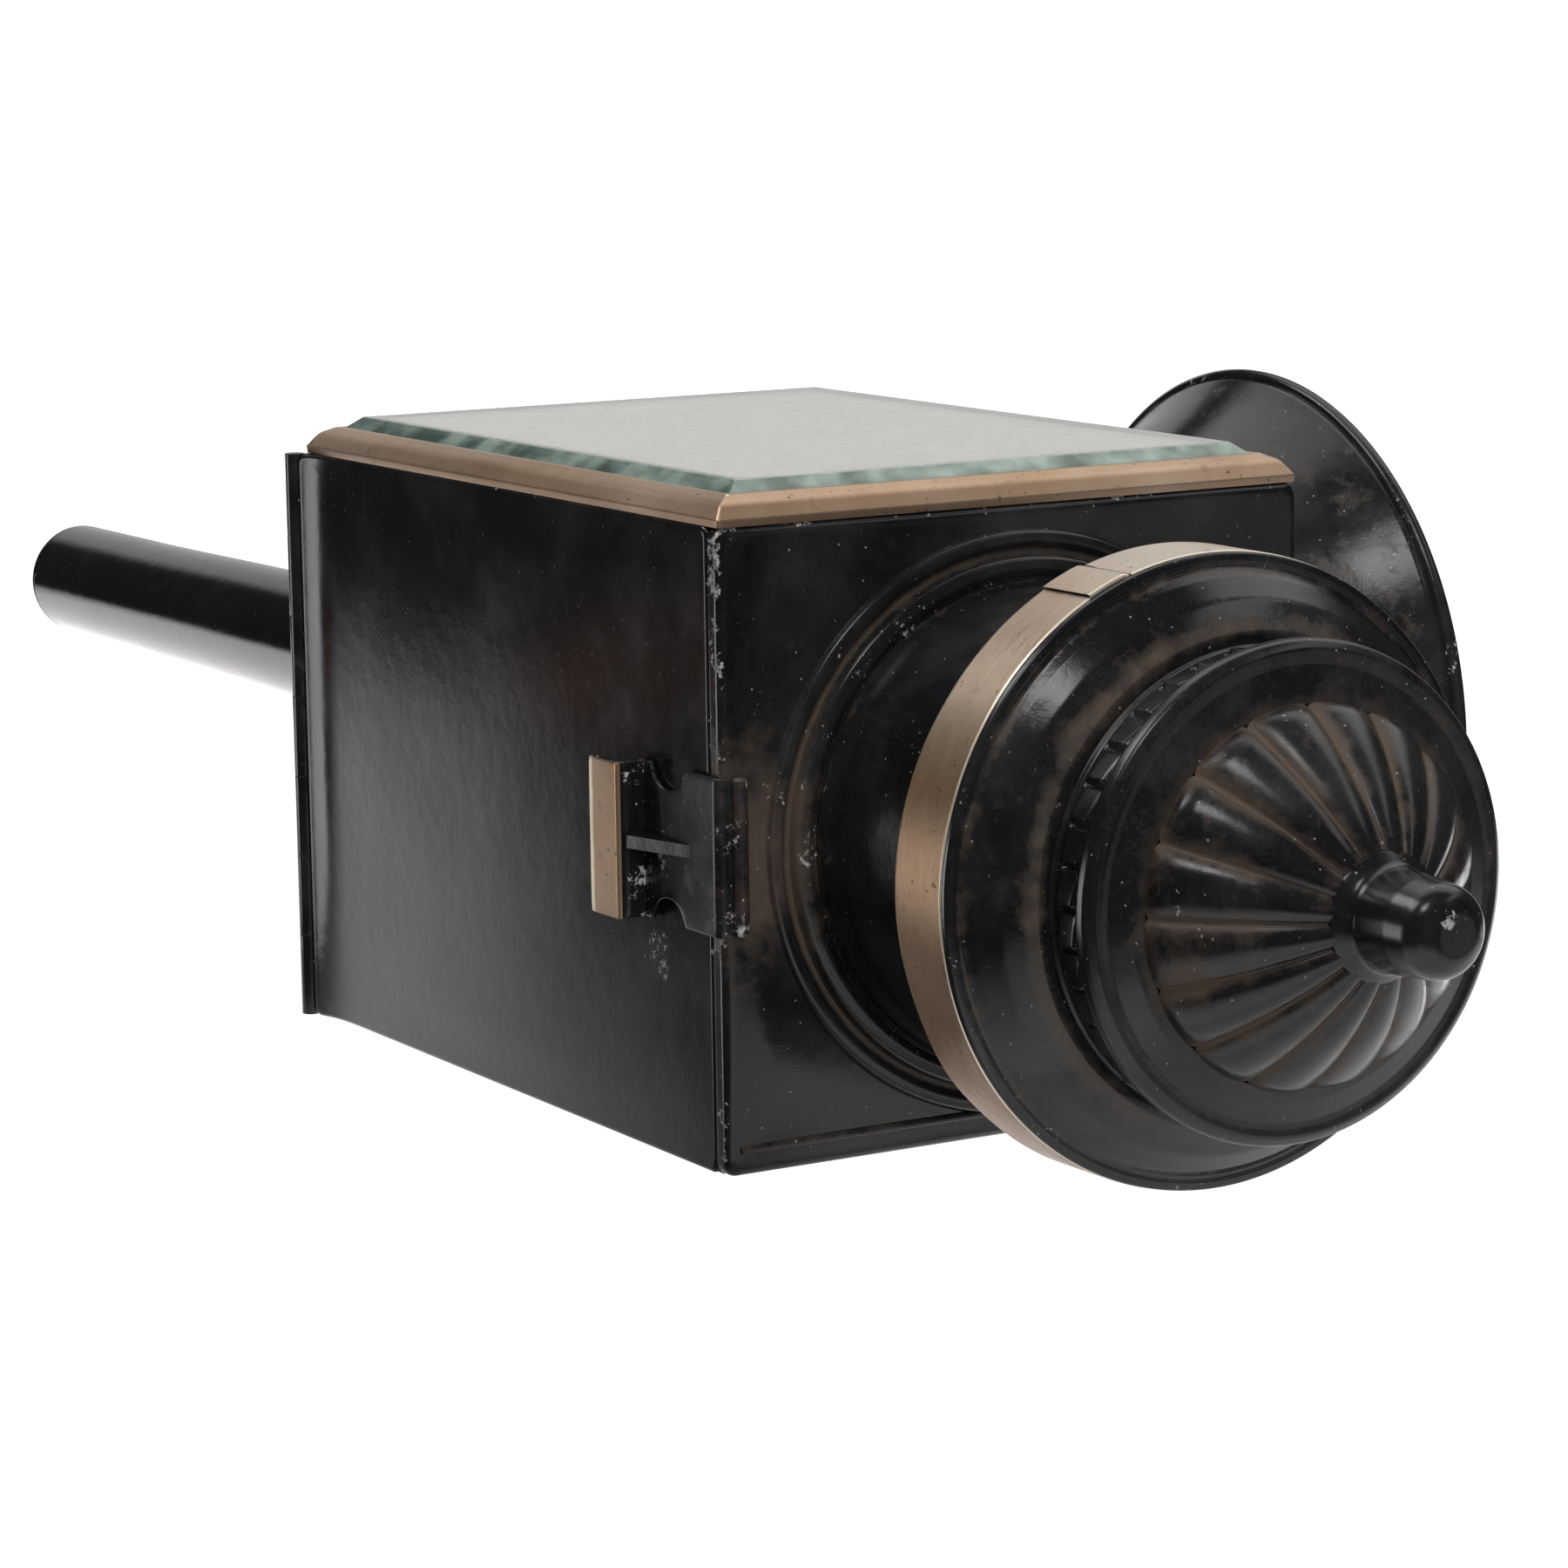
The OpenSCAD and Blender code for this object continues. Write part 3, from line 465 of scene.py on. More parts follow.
# ---------------------------------------------------------------------------
# Chimney: vents and moulding
# A pressed ring of small louvres lets the hot air out under a rounded
# moulding, and a plain ledge slopes up from the moulding to the dome.
# ---------------------------------------------------------------------------
vent_low, vent_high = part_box("vent_gallery")
vent_r = vent_high.x
vent_h = vent_high.z - vent_low.z
LOUVRES = 36
STEPS = 16
louvre_out = 0.75 * MM
angle = np.linspace(0, 2 * np.pi, LOUVRES * STEPS, endpoint=False)
part = (angle * LOUVRES / (2 * np.pi)) % 1.0
up = np.linspace(0, 1, 30)
# Inside a band of its height the wall steps out as a saw wave, one tooth to a louvre, with a slot behind each
# tooth. Two beads, bell-shaped in height, run round above and below.
window = np.clip((up - 0.22) / 0.08, 0, 1) * np.clip((0.80 - up) / 0.08, 0, 1)
saw = np.clip(part / 0.80, 0, 1) * (part < 0.84)
uneven = 0.75 + 0.5 * np.random.default_rng(4).random(LOUVRES)
saw = saw * uneven[(angle * LOUVRES / (2 * np.pi)).astype(int) % LOUVRES]
hollow = ((part >= 0.86) & (part < 0.95)) * 1.0
push = louvre_out * saw - 1.0 * MM * hollow
outer = vent_r - 0.8 * MM + window[:, None] * push
beads = 0.55 * MM * (np.exp(-((up - 0.06) / 0.05) ** 2) + np.exp(-((up - 0.93) / 0.05) ** 2))
outer = outer + beads[:, None]
inner = np.full((2, len(angle)), vent_r - 2.4 * MM)
radius = np.concatenate([outer, inner])
height = np.concatenate([up, [1.0, 0.0]])[:, None] * vent_h + vent_low.z
grid = np.dstack([radius * np.cos(angle), radius * np.sin(angle), np.broadcast_to(height, radius.shape)])
slot_dirt = 0.35 * window[:, None] * hollow
foot_dirt = 0.40 * np.exp(-(up[:, None] / 0.1) ** 2)
grime = np.concatenate([0.10 + slot_dirt + foot_dirt, np.full((2, len(angle)), 0.5)])
vent_enamel = enamel("vent_enamel", gloss=0.22, dust=1.2, dirt=(0.036, 0.027, 0.020))
fit_up(skin("vent_ring", grid, closed=True, wear=0.16 * np.concatenate([beads, [0, 0]])[:, None] / MM,
            grime=grime), vent_enamel, stands_for=["vent_gallery"])

mould_low, mould_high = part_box("gallery_moulding")
ledge_foot = mould_low.z
mould_h = (mould_high.z - mould_low.z) / MM
moulding = turned_line([(37.0, 0.0, 0.2), (39.6, 0.0, 0.4), (40.2, 0.5, 0.4), (40.9, 1.6, 1.2),
                        (40.8, 3.6, 1.4), (39.2, 4.7, 1.2), (37.8, 4.5, 0.5), (36.8, 4.5, 0.5),
                        (33.2, mould_h - 0.35, 2.0), (31.0, mould_h, 0.3), (29.0, mould_h, 0.2),
                        (29.0, mould_h - 1.3, 0.2), (37.0, 3.0, 0.3)], ledge_foot, arc=8)
grid = turned(moulding, sides=260)
from_axis = np.hypot(grid[..., 0], grid[..., 1])
rise = grid[..., 2] - ledge_foot
near_dome = np.clip((36.5 * MM - from_axis) / (5 * MM), 0, 1)
fit_up(skin("moulding_spinning", grid, closed=True,
            wear=0.12 * np.exp(-((from_axis - 40.6 * MM) / MM) ** 2) + 0.02,
            grime=0.08 + 0.34 * near_dome ** 2 + 0.25 * np.exp(-((from_axis - 37.6 * MM) / (0.7 * MM)) ** 2)),
       vent_enamel, stands_for=["gallery_moulding"])

# ---------------------------------------------------------------------------
# Chimney: fluted dome and finial
# The dome is pressed from one sheet into sixteen rounded flutes that widen
# outwards and end in upright faces. Brown rust has settled in the valleys. A
# turned finial with a rounded point screws down on its top.
# ---------------------------------------------------------------------------
dome_low, dome_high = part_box("fluted_dome")
dome_r = dome_high.x
FLUTES = 16
PER_FLUTE = 18
dome_wall = 4.5 * MM
dome_rise = 19.0 * MM
flute_depth = 3.9 * MM
core_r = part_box("finial")[1].x - 2.2 * MM
angle = np.linspace(0, 2 * np.pi, FLUTES * PER_FLUTE, endpoint=False)
across_flute = 2 * ((angle * FLUTES / (2 * np.pi)) % 1.0) - 1
swell = np.sqrt(1 - (0.975 * across_flute) ** 2)
# outward is the share of the dome's radius. The ridges fall as 1 - outward to the power 1.7, the valleys lie
# below them by a half-circle across each flute that deepens outwards, and the last part rounds over the lip
# into an upright wall, which is turned in at its foot and lined inside.
LIP_FROM = 0.955
LIP_SPAN = 0.045
rounding = LIP_FROM + LIP_SPAN * np.sin(np.linspace(0.15, np.pi / 2, 8))
outward = np.concatenate([np.linspace(core_r / dome_r, LIP_FROM, 34), rounding])[:, None]
base = dome_wall + dome_rise * (1 - outward ** 1.7) - 0.4 * dome_wall * outward ** 6
valley = flute_depth * outward ** 0.85 * (1 - swell)
lip = 1.3 * MM * (1 - np.sqrt(1 - np.clip((outward - LIP_FROM) / LIP_SPAN, 0, 1) ** 2))
height = base - valley - lip
end_bulge = 0.5 * MM * (swell - 0.5) * np.clip((outward - 0.8) / 0.2, 0, 1)
radius = outward * (dome_r - 0.5 * MM) + end_bulge
wall = np.linspace(1, 0, 7)[1:, None]
wall_top = height[-1:]
height = np.concatenate([height, wall * wall_top])
radius = np.concatenate([radius, np.broadcast_to(radius[-1:], (len(wall), len(angle)))])
foot_turn = 1.6 * MM
around = np.ones((1, len(angle)))
lining_z = base[::-8] - flute_depth - 1.2 * MM * around
lining_r = np.minimum(outward[::-8] * dome_r, dome_r - 2.6 * MM) * around
height = np.concatenate([height, 0 * around, lining_z])
radius = np.concatenate([radius, radius[-1:] - foot_turn, lining_r])
grid = np.dstack([radius * np.cos(angle), radius * np.sin(angle), dome_low.z + height])
out = np.clip(radius / dome_r, 0, 1)
in_valley = np.abs(across_flute) ** 3.4 * np.clip(out * 1.3, 0, 1)
at_foot = np.exp(-((grid[..., 2] - dome_low.z) / (1.2 * MM)))
lip_wear = np.exp(-((out - 0.985) / 0.02) ** 2) * (grid[..., 2] > dome_low.z + 2.5 * MM)


def on_dome(share, way, rise):
    """A place at a share of the dome's radius, at an angle round it and a height above its foot."""
    return share * dome_r * np.cos(way), share * dome_r * np.sin(way), dome_low.z + rise


chip_spot = bump_at(grid, on_dome(0.90, 1.51, 5.2 * MM), 2.0 * MM)
rust_spot = bump_at(grid, on_dome(0.88, 1.90, 5.6 * MM), 3.0 * MM)
dome_enamel = enamel("dome_enamel", gloss=0.2, dust=1.0, dirt=(0.052, 0.036, 0.025))
fit_up(skin("dome_pressing", grid, closed=True,
            wear=0.24 * lip_wear + 0.05 * swell + 0.40 * chip_spot + 0.12 * rust_spot,
            grime=0.17 + 0.60 * in_valley + 0.35 * at_foot + 0.7 * rust_spot),
       dome_enamel, stands_for=["fluted_dome"])

finial_low = dome_low.z + dome_wall + dome_rise * (1 - (core_r / dome_r) ** 1.7)
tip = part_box("finial")[1].z
tall = (tip - finial_low) / MM
finial = turned_line([(0.0, -2.6, 0), (10.6, -2.6, 0.2), (10.4, -1.7, 0.3), (8.3, 0.3, 2.8),
                      (8.0, tall * 0.5, 6.0), (7.4, tall * 0.88, 4.6), (3.9, tall, 3.4), (0.0, tall, 0)],
                     finial_low, closed=False, arc=10, step=1.0 * MM)
grid = turned(finial, sides=96)
chip_spot = bump_at(grid, (2.5 * MM, 1.5 * MM, tip), 1.6 * MM)
fit_up(skin("finial_turning", grid, wear=0.08 + 0.24 * chip_spot,
            grime=0.12 * np.exp(-((grid[..., 2] - finial_low) / (1.5 * MM)) ** 2)),
       dome_enamel, stands_for=["finial"])

# ---------------------------------------------------------------------------
# Bell mouth
# A flared spinning on the front of the body, its rim rolled over a wire. The
# front glass sits behind it in a tinned ring.
# ---------------------------------------------------------------------------
bell_low, bell_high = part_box("bell_mouth")
mouth_z = (bell_low.z + bell_high.z) / 2
mouth_r = bell_high.x
mouth_l = bell_high.y - bell_low.y
throat_r = 45.5 * MM
# From throat to rim the radius grows by 0.42 of the way in a straight line, and by the rest as the length to
# the power 2.4.
along = np.linspace(0, 1, 40)
flare = throat_r + (mouth_r - throat_r) * (0.42 * along + 0.58 * along ** 2.4)
outside = np.stack([flare, mouth_l * along], 1)
inner_wall = np.stack([flare - 1.0 * MM, mouth_l * along], 1)[::-1]
foot_corners = [(-1.0, 0, 0), (3.5, 0, 0.3), (3.5, 1.2, 0.5), (0.4, 1.2, 0.5), (1.0, 2.6, 0)]
foot = outline(np.array(foot_corners) * MM + (throat_r, 0, 0), step=1 * MM)
profile = np.concatenate([foot, outside[3:], inner_wall[:-1]])
grid = turned(profile, sides=220)


def face_front(grid):
    """Turns a piece made on the upright axis to look out of the front, about the mouth's own axis."""
    return np.dstack([grid[..., 0], bell_high.y - grid[..., 2], mouth_z + grid[..., 1]])


grid = face_front(grid)
grid[..., 1] += 0.4 * MM * waves(grid, 70 * MM, 21) * np.clip((bell_high.y - grid[..., 1]) / mouth_l, 0, 1)
rim_near = np.exp(-((grid[..., 1] - bell_low.y) / (3 * MM)))
fit_up(skin("bell_spinning", grid, closed=True, wear=0.12 * rim_near, grime=0.2),
       body_enamel, stands_for=["bell_mouth"])

rim_r = 1.4 * MM
angle = np.linspace(0, 2 * np.pi, 16, endpoint=False)
rim = np.stack([mouth_r - 0.2 * MM + rim_r * np.cos(angle), mouth_l + 1.2 * MM + rim_r * np.sin(angle)], 1)
grid = face_front(turned(rim, sides=220))
fit_up(skin("rolled_rim", grid, closed=True, wear=0.22, grime=0.1), body_enamel,
       stands_for=["mouth_rim_wire"])

# ---------------------------------------------------------------------------
# Candle tube
# A long tapered tube of enamelled sheet that holds the candle on its spring.
# Its lower end is parallel, to drop into the socket, and closed with a cap.
# ---------------------------------------------------------------------------
tube_enamel = enamel("tube_enamel", gloss=0.14, dust=0.7)
tube_low, tube_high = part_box("candle_tube")
parallel_end = 45.0
under_base = foot_z / MM
tube_top = tube_high.z / MM
tube = turned_line([(12.9, 0, 0.4), (12.9, parallel_end, 30), (14.7, under_base, 0.2), (12.9, under_base, 0.2),
                    (12.9, tube_top, 0.2), (11.9, tube_top, 0.2), (11.9, 0, 0.3)], tube_low.z, step=5 * MM)
grid = turned(tube, sides=128)
grid[..., :2] *= 1 + 0.0035 * waves(grid * (1, 1, 0.5), 40 * MM, 31)[..., None]
low_end = np.exp(-((grid[..., 2] - tube_low.z) / (2.0 * MM)))
top_end = np.exp(-(np.abs(foot_z - grid[..., 2]) / (3.0 * MM)))
fit_up(skin("tube_sheet", grid, closed=True, wear=0.3 * low_end + 0.03, grime=0.5 * top_end + 0.08),
       tube_enamel, stands_for=["candle_tube"])

cap_low, cap_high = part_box("bottom_cap")
cap_h = (cap_high.z - cap_low.z) / MM
cap = turned_line([(0, 0, 0), (11.6, 0, 0.9), (12.75, 0.7, 0.6), (12.9, 1.45, 0.12), (11.85, 1.5, 0.1),
                   (11.85, cap_h, 0.3), (10.0, cap_h, 0.3), (10.0, 3.0, 0.6), (0, 3.0, 0)],
                  cap_low.z, closed=False, arc=8)
fit_up(skin("cap_cup", turned(cap, sides=96), wear=0.1, grime=0.2), tube_enamel,
       body="bottom_cap", stands_for=["bottom_cap"])

# ---------------------------------------------------------------------------
# Side light
# A thick plate glass with a wide bevel, bedded on packing in a mitred brass
# frame with a rounded slope. The plate is faintly green, most at its bevel,
# and dusty.
# ---------------------------------------------------------------------------
frame_low, frame_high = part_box("side_light_frame")
wall_x = frame_low.x
frame_rise = frame_high.x - wall_x
middle_z = (frame_low.z + frame_high.z) / 2
light_a = frame_high.y
light_b = (frame_high.z - frame_low.z) / 2


def on_side(grid):
    """Stands a flat piece (a, b, rise) on the body's side: a runs along Y, b along Z and rise out along X."""
    return np.dstack([wall_x + grid[..., 2], grid[..., 0], middle_z + grid[..., 1]])


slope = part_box("side_glass")[1].y
opening = light_a - slope + 0.1 * MM
frame_section = outline([(0.15 * MM, 0.0, 0.05 * MM), (0.0, 1.3 * MM, 0.6 * MM),
                         (1.9 * MM, 3.9 * MM, 3.4 * MM), (4.4 * MM, frame_rise, 0.7 * MM),
                         (opening, frame_rise, 0.2 * MM), (opening, 0.0, 0.1 * MM)],
                        closed=True, step=0.9 * MM, arc=7)
edge = outline([(light_a, -light_b, 0.6 * MM), (light_a, light_b, 0.6 * MM),
                (-light_a, light_b, 0.6 * MM), (-light_a, -light_b, 0.6 * MM)],
               closed=True, step=3 * MM, arc=5)
inset, rise = frame_section[:, :1], frame_section[:, 1:]
shrink = np.stack([1 - inset / light_a, 1 - inset / light_b], -1)
grid = np.dstack([edge[None] * shrink, np.broadcast_to(rise, (len(rise), len(edge)))])
mitre = np.abs(np.abs(grid[..., 0]) - light_a - np.abs(grid[..., 1]) + light_b)
mitre_line = np.exp(-(mitre / (0.35 * MM)) ** 2)
ridge = np.exp(-((inset - 4.5 * MM) / (0.5 * MM)) ** 2) * (grid[..., 2] > frame_rise - 0.7 * MM)
foot_dark = np.exp(-(grid[..., 2] / (0.5 * MM)) ** 2)
frame_brass = worn_brass("frame_brass", (1.0, 0.12, 0.12), pale=0.26)
fit_up(skin("light_frame", on_side(grid), closed=True, wear=0.7 * mitre_line + 0.62 * ridge,
            grime=0.35 * foot_dark + 0.2 * mitre_line),
       frame_brass, stands_for=["side_light_frame"])


def plate_glass(name):
    """Old plate glass: clear, with dust lying on it, and a green body that shows where the bevel mark
    is high."""
    made, tree, shader, place = new_finish(name, ior=1.52, roughness=0.03)
    dusty = ramp(tree, noise(tree, place, 60, 6, 0.75), 0.30, 0.80)
    motes = ramp(tree, noise(tree, place, 1300, 2, 0.5), 0.66, 0.72)
    bevel = mark(tree, "bevel")
    glint = ramp(tree, noise(tree, place, 120, 2, 0.5), 0.35, 0.65)
    green = tint(tree, glint, (0.075, 0.115, 0.095), (0.27, 0.35, 0.305))
    colour = tint(tree, dusty, (0.74, 0.76, 0.73), (0.80, 0.79, 0.76))
    colour = tint(tree, times(tree, motes, 0.5), colour, (0.25, 0.23, 0.21))
    colour = tint(tree, bevel, colour, green)
    tree.links.new(colour, shader.inputs["Base Color"])
    clear = times(tree, ramp(tree, dusty, 0.0, 1.0, 0.90, 0.76), times(tree, bevel, 0.45), "SUBTRACT")
    tree.links.new(clear, shader.inputs["Transmission Weight"])
    return made


glass_low, glass_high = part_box("side_glass")
glass_a, glass_b = glass_high.y, (glass_high.z - glass_low.z) / 2
glass_foot = glass_low.x - wall_x
glass_top = glass_high.x - wall_x
bevel_foot = frame_rise - 0.2 * MM
bevel_w = 8.6 * MM - (light_a - glass_a) - 0.2 * MM
glass_section = outline([(bevel_w + 1.0 * MM, glass_top, 0), (bevel_w, glass_top, 0.12 * MM),
                         (0, bevel_foot, 0.12 * MM), (0, glass_foot, 0.12 * MM),
                         (bevel_w + 1.0 * MM, glass_foot, 0)], step=0.8 * MM, arc=4)
grid = pan(glass_a, glass_b, 0.3 * MM, glass_section, rings=6)
from_edge = np.minimum(glass_a - np.abs(grid[..., 0]), glass_b - np.abs(grid[..., 1]))
on_bevel = np.clip((bevel_w - 0.05 * MM - from_edge) / (0.1 * MM), 0, 1)
fit_up(skin("bevelled_plate", on_side(grid), bevel=on_bevel), plate_glass("plate_glass"),
       stands_for=["side_glass"])

# ---------------------------------------------------------------------------
# Back door
# One enamelled sheet, a little bowed by use, with its edges turned in and its
# foot rolled out to the hinge wire. The knuckles of the door and the base
# share the wire, end to end, along the whole width.
# ---------------------------------------------------------------------------
door_low, door_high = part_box("back_door")
door_top = door_high.z
door_foot = door_low.z
door_out = door_high.y
door_b = (door_top - door_foot) / 2
door_z = (door_top + door_foot) / 2
barrel_low, barrel_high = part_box("base_knuckles")
barrel_r = 1.8 * MM
barrel_z = barrel_low.z + barrel_r
barrel_y = barrel_high.y - barrel_r

door_section = outline([(2.0 * MM, 0, 0), (0, 0, 0.75 * MM), (0, -sheet_t, 0.15 * MM),
                        (2.0 * MM, -sheet_t, 0)], step=0.8 * MM)
grid = pan(half_w, door_b, 1.6 * MM, door_section, rings=40)
side_share, up_share = grid[..., 0] / half_w, grid[..., 1] / door_b
held = np.clip((1 - np.maximum(np.abs(side_share), np.abs(up_share))) * 6, 0, 1)
sheet = np.dstack([grid[..., 0], door_out + grid[..., 2], door_z + grid[..., 1]])
# The sheet bows out as (1 - side squared) * (1 - up squared), with two sizes of soft waves on it, and its
# foot comes out to the barrel as exp(-height to the power 1.15).
bow = 0.75 * MM * (1 - side_share ** 2) * (1 - up_share ** 2)
bow = bow + 0.10 * MM * waves(sheet, 95 * MM, 43) + 0.02 * MM * waves(sheet, 30 * MM, 44)
above_foot = sheet[..., 2] - door_foot
rolled = 2.3 * MM * np.exp(-(above_foot / (4.4 * MM)) ** 1.15)
sheet[..., 1] += bow * held + rolled
near_edge = np.maximum(np.abs(side_share), up_share)
scuff = bump_at(sheet, (20 * MM, door_out, door_foot + 105 * MM), 9 * MM)
scuff = scuff + bump_at(sheet, (-20 * MM, door_out, door_top - 18 * MM), 8 * MM)
door = skin("door_sheet", sheet,
            wear=0.24 * np.clip((near_edge - 0.982) / 0.015, 0, 1) + 0.20 * scuff,
            grime=0.04)
fit_up(door, enamel("door_enamel", gloss=0.16, dust=0.9), body="door", stands_for=["back_door"])

KNUCKLES = 7
pitch = 2 * half_w / KNUCKLES
gap = 0.08 * MM
for i in range(KNUCKLES):
    start_x = -half_w + i * pitch + gap / 2
    end_x = start_x + pitch - gap
    barrel = rod((start_x, barrel_y, barrel_z), (end_x, barrel_y, barrel_z), barrel_r + 0.03 * MM,
                 f"knuckle_{i + 1}", sides=28, ball=0.05, wear=0.0, grime=0.15)
    fit_up(barrel, body_enamel, body="door" if i % 2 else "lamp")

# ---------------------------------------------------------------------------
# Catch
# A waisted plate of sheet hooks over the roof's edge with a rolled end. A
# shelf and a thumb flap faced with a bright strip stand out of its foot, and
# a small rib stiffens the shelf. It turns on a pin between two ears.
# ---------------------------------------------------------------------------
def ribbon(name, path, half_width, thick, **marks):
    """A strip carried along a path (y, z). Its cross-section, set square to the path, is a rounded box: each
    of cos and sin is raised to the power 0.35 with its sign kept, and scaled to the half width and half
    thickness. Its ends are closed."""
    on = np.gradient(path, axis=0)
    on /= np.linalg.norm(on, axis=1, keepdims=True)
    out_of = np.stack([-on[:, 1], on[:, 0]], 1)
    half_width = np.broadcast_to(half_width, len(path))[:, None]
    round_r = 0.35 * thick
    angle = np.linspace(0, 2 * np.pi, 48, endpoint=False) + np.pi / 48
    box_x = np.sign(np.cos(angle)) * np.abs(np.cos(angle)) ** 0.35
    box_t = np.sign(np.sin(angle)) * np.abs(np.sin(angle)) ** 0.35
    x = (half_width - round_r) * box_x + round_r * np.cos(angle)
    side = 0.5 * thick * box_t
    grid = np.dstack([x, path[:, :1] + out_of[:, :1] * side, path[:, 1:] + out_of[:, 1:] * side])
    closing = grid.mean(1, keepdims=True)
    first = closing[:1] + 0 * grid[:1]
    last = closing[-1:] + 0 * grid[:1]
    return skin(name, np.concatenate([first, grid, last]), **marks)


catch_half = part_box("catch_plate")[1].x
catch_t = 1.2 * MM
catch_y = half_d + 1.2 * MM
catch_foot = roof_z - 28 * MM
catch_enamel = enamel("catch_enamel", gloss=0.24, dust=1.5, dirt=(0.05, 0.034, 0.026))
path = outline([(catch_y, catch_foot + 2.0 * MM, 0), (catch_y, roof_z + 0.9 * MM, 1.0 * MM),
                (half_d - 1.2 * MM, roof_z + 0.9 * MM, 0)], step=0.6 * MM, arc=9)
up = path[:, 1] - catch_foot
notch_up, notch_half, notch_deep = 12 * MM, 5.4 * MM, 4.2 * MM
notch = np.sqrt(np.clip(1 - ((up - notch_up) / notch_half) ** 2, 0, 1)) * notch_deep
plate = ribbon("catch_waisted_plate", path, catch_half - notch, catch_t, wear=0.16, grime=0.16)
fit_up(plate, catch_enamel, body="catch", stands_for=["catch_plate"])
roll_y, roll_z = half_d - 2.6 * MM, roof_z + 1.55 * MM
roll = rod((-catch_half, roll_y, roll_z), (catch_half, roll_y, roll_z), 1.35 * MM, "catch_roll",
           ball=0.6, wear=0.2, grime=0.35)
fit_up(roll, catch_enamel, body="catch")
pivot_y, pivot_z = half_d + 1.9 * MM, catch_foot + 1.6 * MM
pivot = rod((-catch_half / 2, pivot_y, pivot_z), (catch_half / 2, pivot_y, pivot_z), 1.7 * MM,
            "catch_barrel", ball=0.3, wear=0.1, grime=0.3)
fit_up(pivot, catch_enamel, body="catch")

lip_low, lip_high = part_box("catch_lip")
flap_y = lip_high.y - 0.6 * MM
shelf_z = lip_high.z - 0.6 * MM
path = outline([(catch_y + 0.5 * MM, shelf_z, 0), (flap_y, shelf_z, 1.3 * MM), (flap_y, lip_low.z, 0)],
               step=0.6 * MM, arc=9)
fit_up(ribbon("catch_flap", path, catch_half, catch_t, wear=0.26, grime=0.08), catch_enamel,
       body="catch", stands_for=["catch_lip"])
facing_low, facing_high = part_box("catch_facing")
facing_y = facing_high.y - 0.3 * MM
path = outline([(facing_y - 0.5 * MM, facing_low.z, 0), (facing_y, facing_low.z + 0.3 * MM, 0.4 * MM),
                (facing_y, facing_high.z - 0.4 * MM, 0.5 * MM), (facing_y - 0.5 * MM, facing_high.z, 0)],
               step=0.6 * MM, arc=6)
strip_z = np.concatenate([path[:1, 1], path[:, 1], path[-1:, 1]])[:, None]
edge_bright = np.exp(-((strip_z - facing_low.z) / (2.2 * MM)) ** 2)
fit_up(ribbon("catch_bright_strip", path, catch_half, 0.6 * MM, wear=1.05 * edge_bright, grime=0.12),
       worn_brass("facing_brass", (1.0, 1.0, 0.3), pale=0.25), body="catch", stands_for=["catch_facing"])

# ---------------------------------------------------------------------------
# Plain pieces
# Walls, base, ears, pins, the candle and the fittings inside keep the shapes
# that they were drawn with, and get their finishes here.
# ---------------------------------------------------------------------------
def tin(name, colour, rough, scale):
    """Tinned or plain sheet: a grey with faint crystals and water marks."""
    made, tree, shader, place = new_finish(name, metallic=1.0)
    cloud = noise(tree, place, scale, 5, 0.6)
    tree.links.new(tint(tree, ramp(tree, cloud, 0.4, 0.7), colour, tuple(0.55 * c for c in colour)),
                   shader.inputs["Base Color"])
    tree.links.new(ramp(tree, cloud, 0.3, 0.7, rough, rough + 0.2), shader.inputs["Roughness"])
    return made


def soft(name, colour, shade, rough, scale, glow=0.0):
    """A dull surface, such as wax, cotton or felt, in two close colours with a fine grain."""
    made, tree, shader, place = new_finish(name, subsurface_weight=glow)
    grain = noise(tree, place, scale, 5, 0.6)
    tree.links.new(tint(tree, ramp(tree, grain, 0.35, 0.7), colour, shade), shader.inputs["Base Color"])
    shader.inputs["Roughness"].default_value = rough
    relief = node(tree, "ShaderNodeBump", {"Strength": 0.3, "Distance": 0.2 * MM, "Height": grain})
    tree.links.new(relief.outputs[0], shader.inputs["Normal"])
    return made


finishes = {
    "black_enamel": body_enamel,
    "worn_brass": worn_brass("plain_brass"),
    "bare_tin": tin("bare_tin", (0.55, 0.55, 0.53), 0.35, 60),
    "reflector": tin("silvered_sheet", (0.86, 0.85, 0.82), 0.12, 25),
    "plate_glass": plate_glass("front_plate_glass"),
    "packing": soft("felt_packing", (0.10, 0.08, 0.06), (0.05, 0.04, 0.03), 0.9, 500),
    "candle_wax": soft("candle_wax", (0.86, 0.81, 0.68), (0.80, 0.73, 0.58), 0.42, 50, glow=0.3),
    "wick_cotton": soft("charred_cotton", (0.03, 0.025, 0.02), (0.09, 0.08, 0.07), 0.95, 800),
    "spring_wire": tin("spring_steel", (0.34, 0.33, 0.32), 0.3, 90),
}
slot_of = {part["node"]: part["material_slot"] for part in frame["record"]["subparts"]}
for name, piece in nodes.items():
    piece.data.materials.clear()
    piece.data.materials.append(finishes[slot_of[name]])

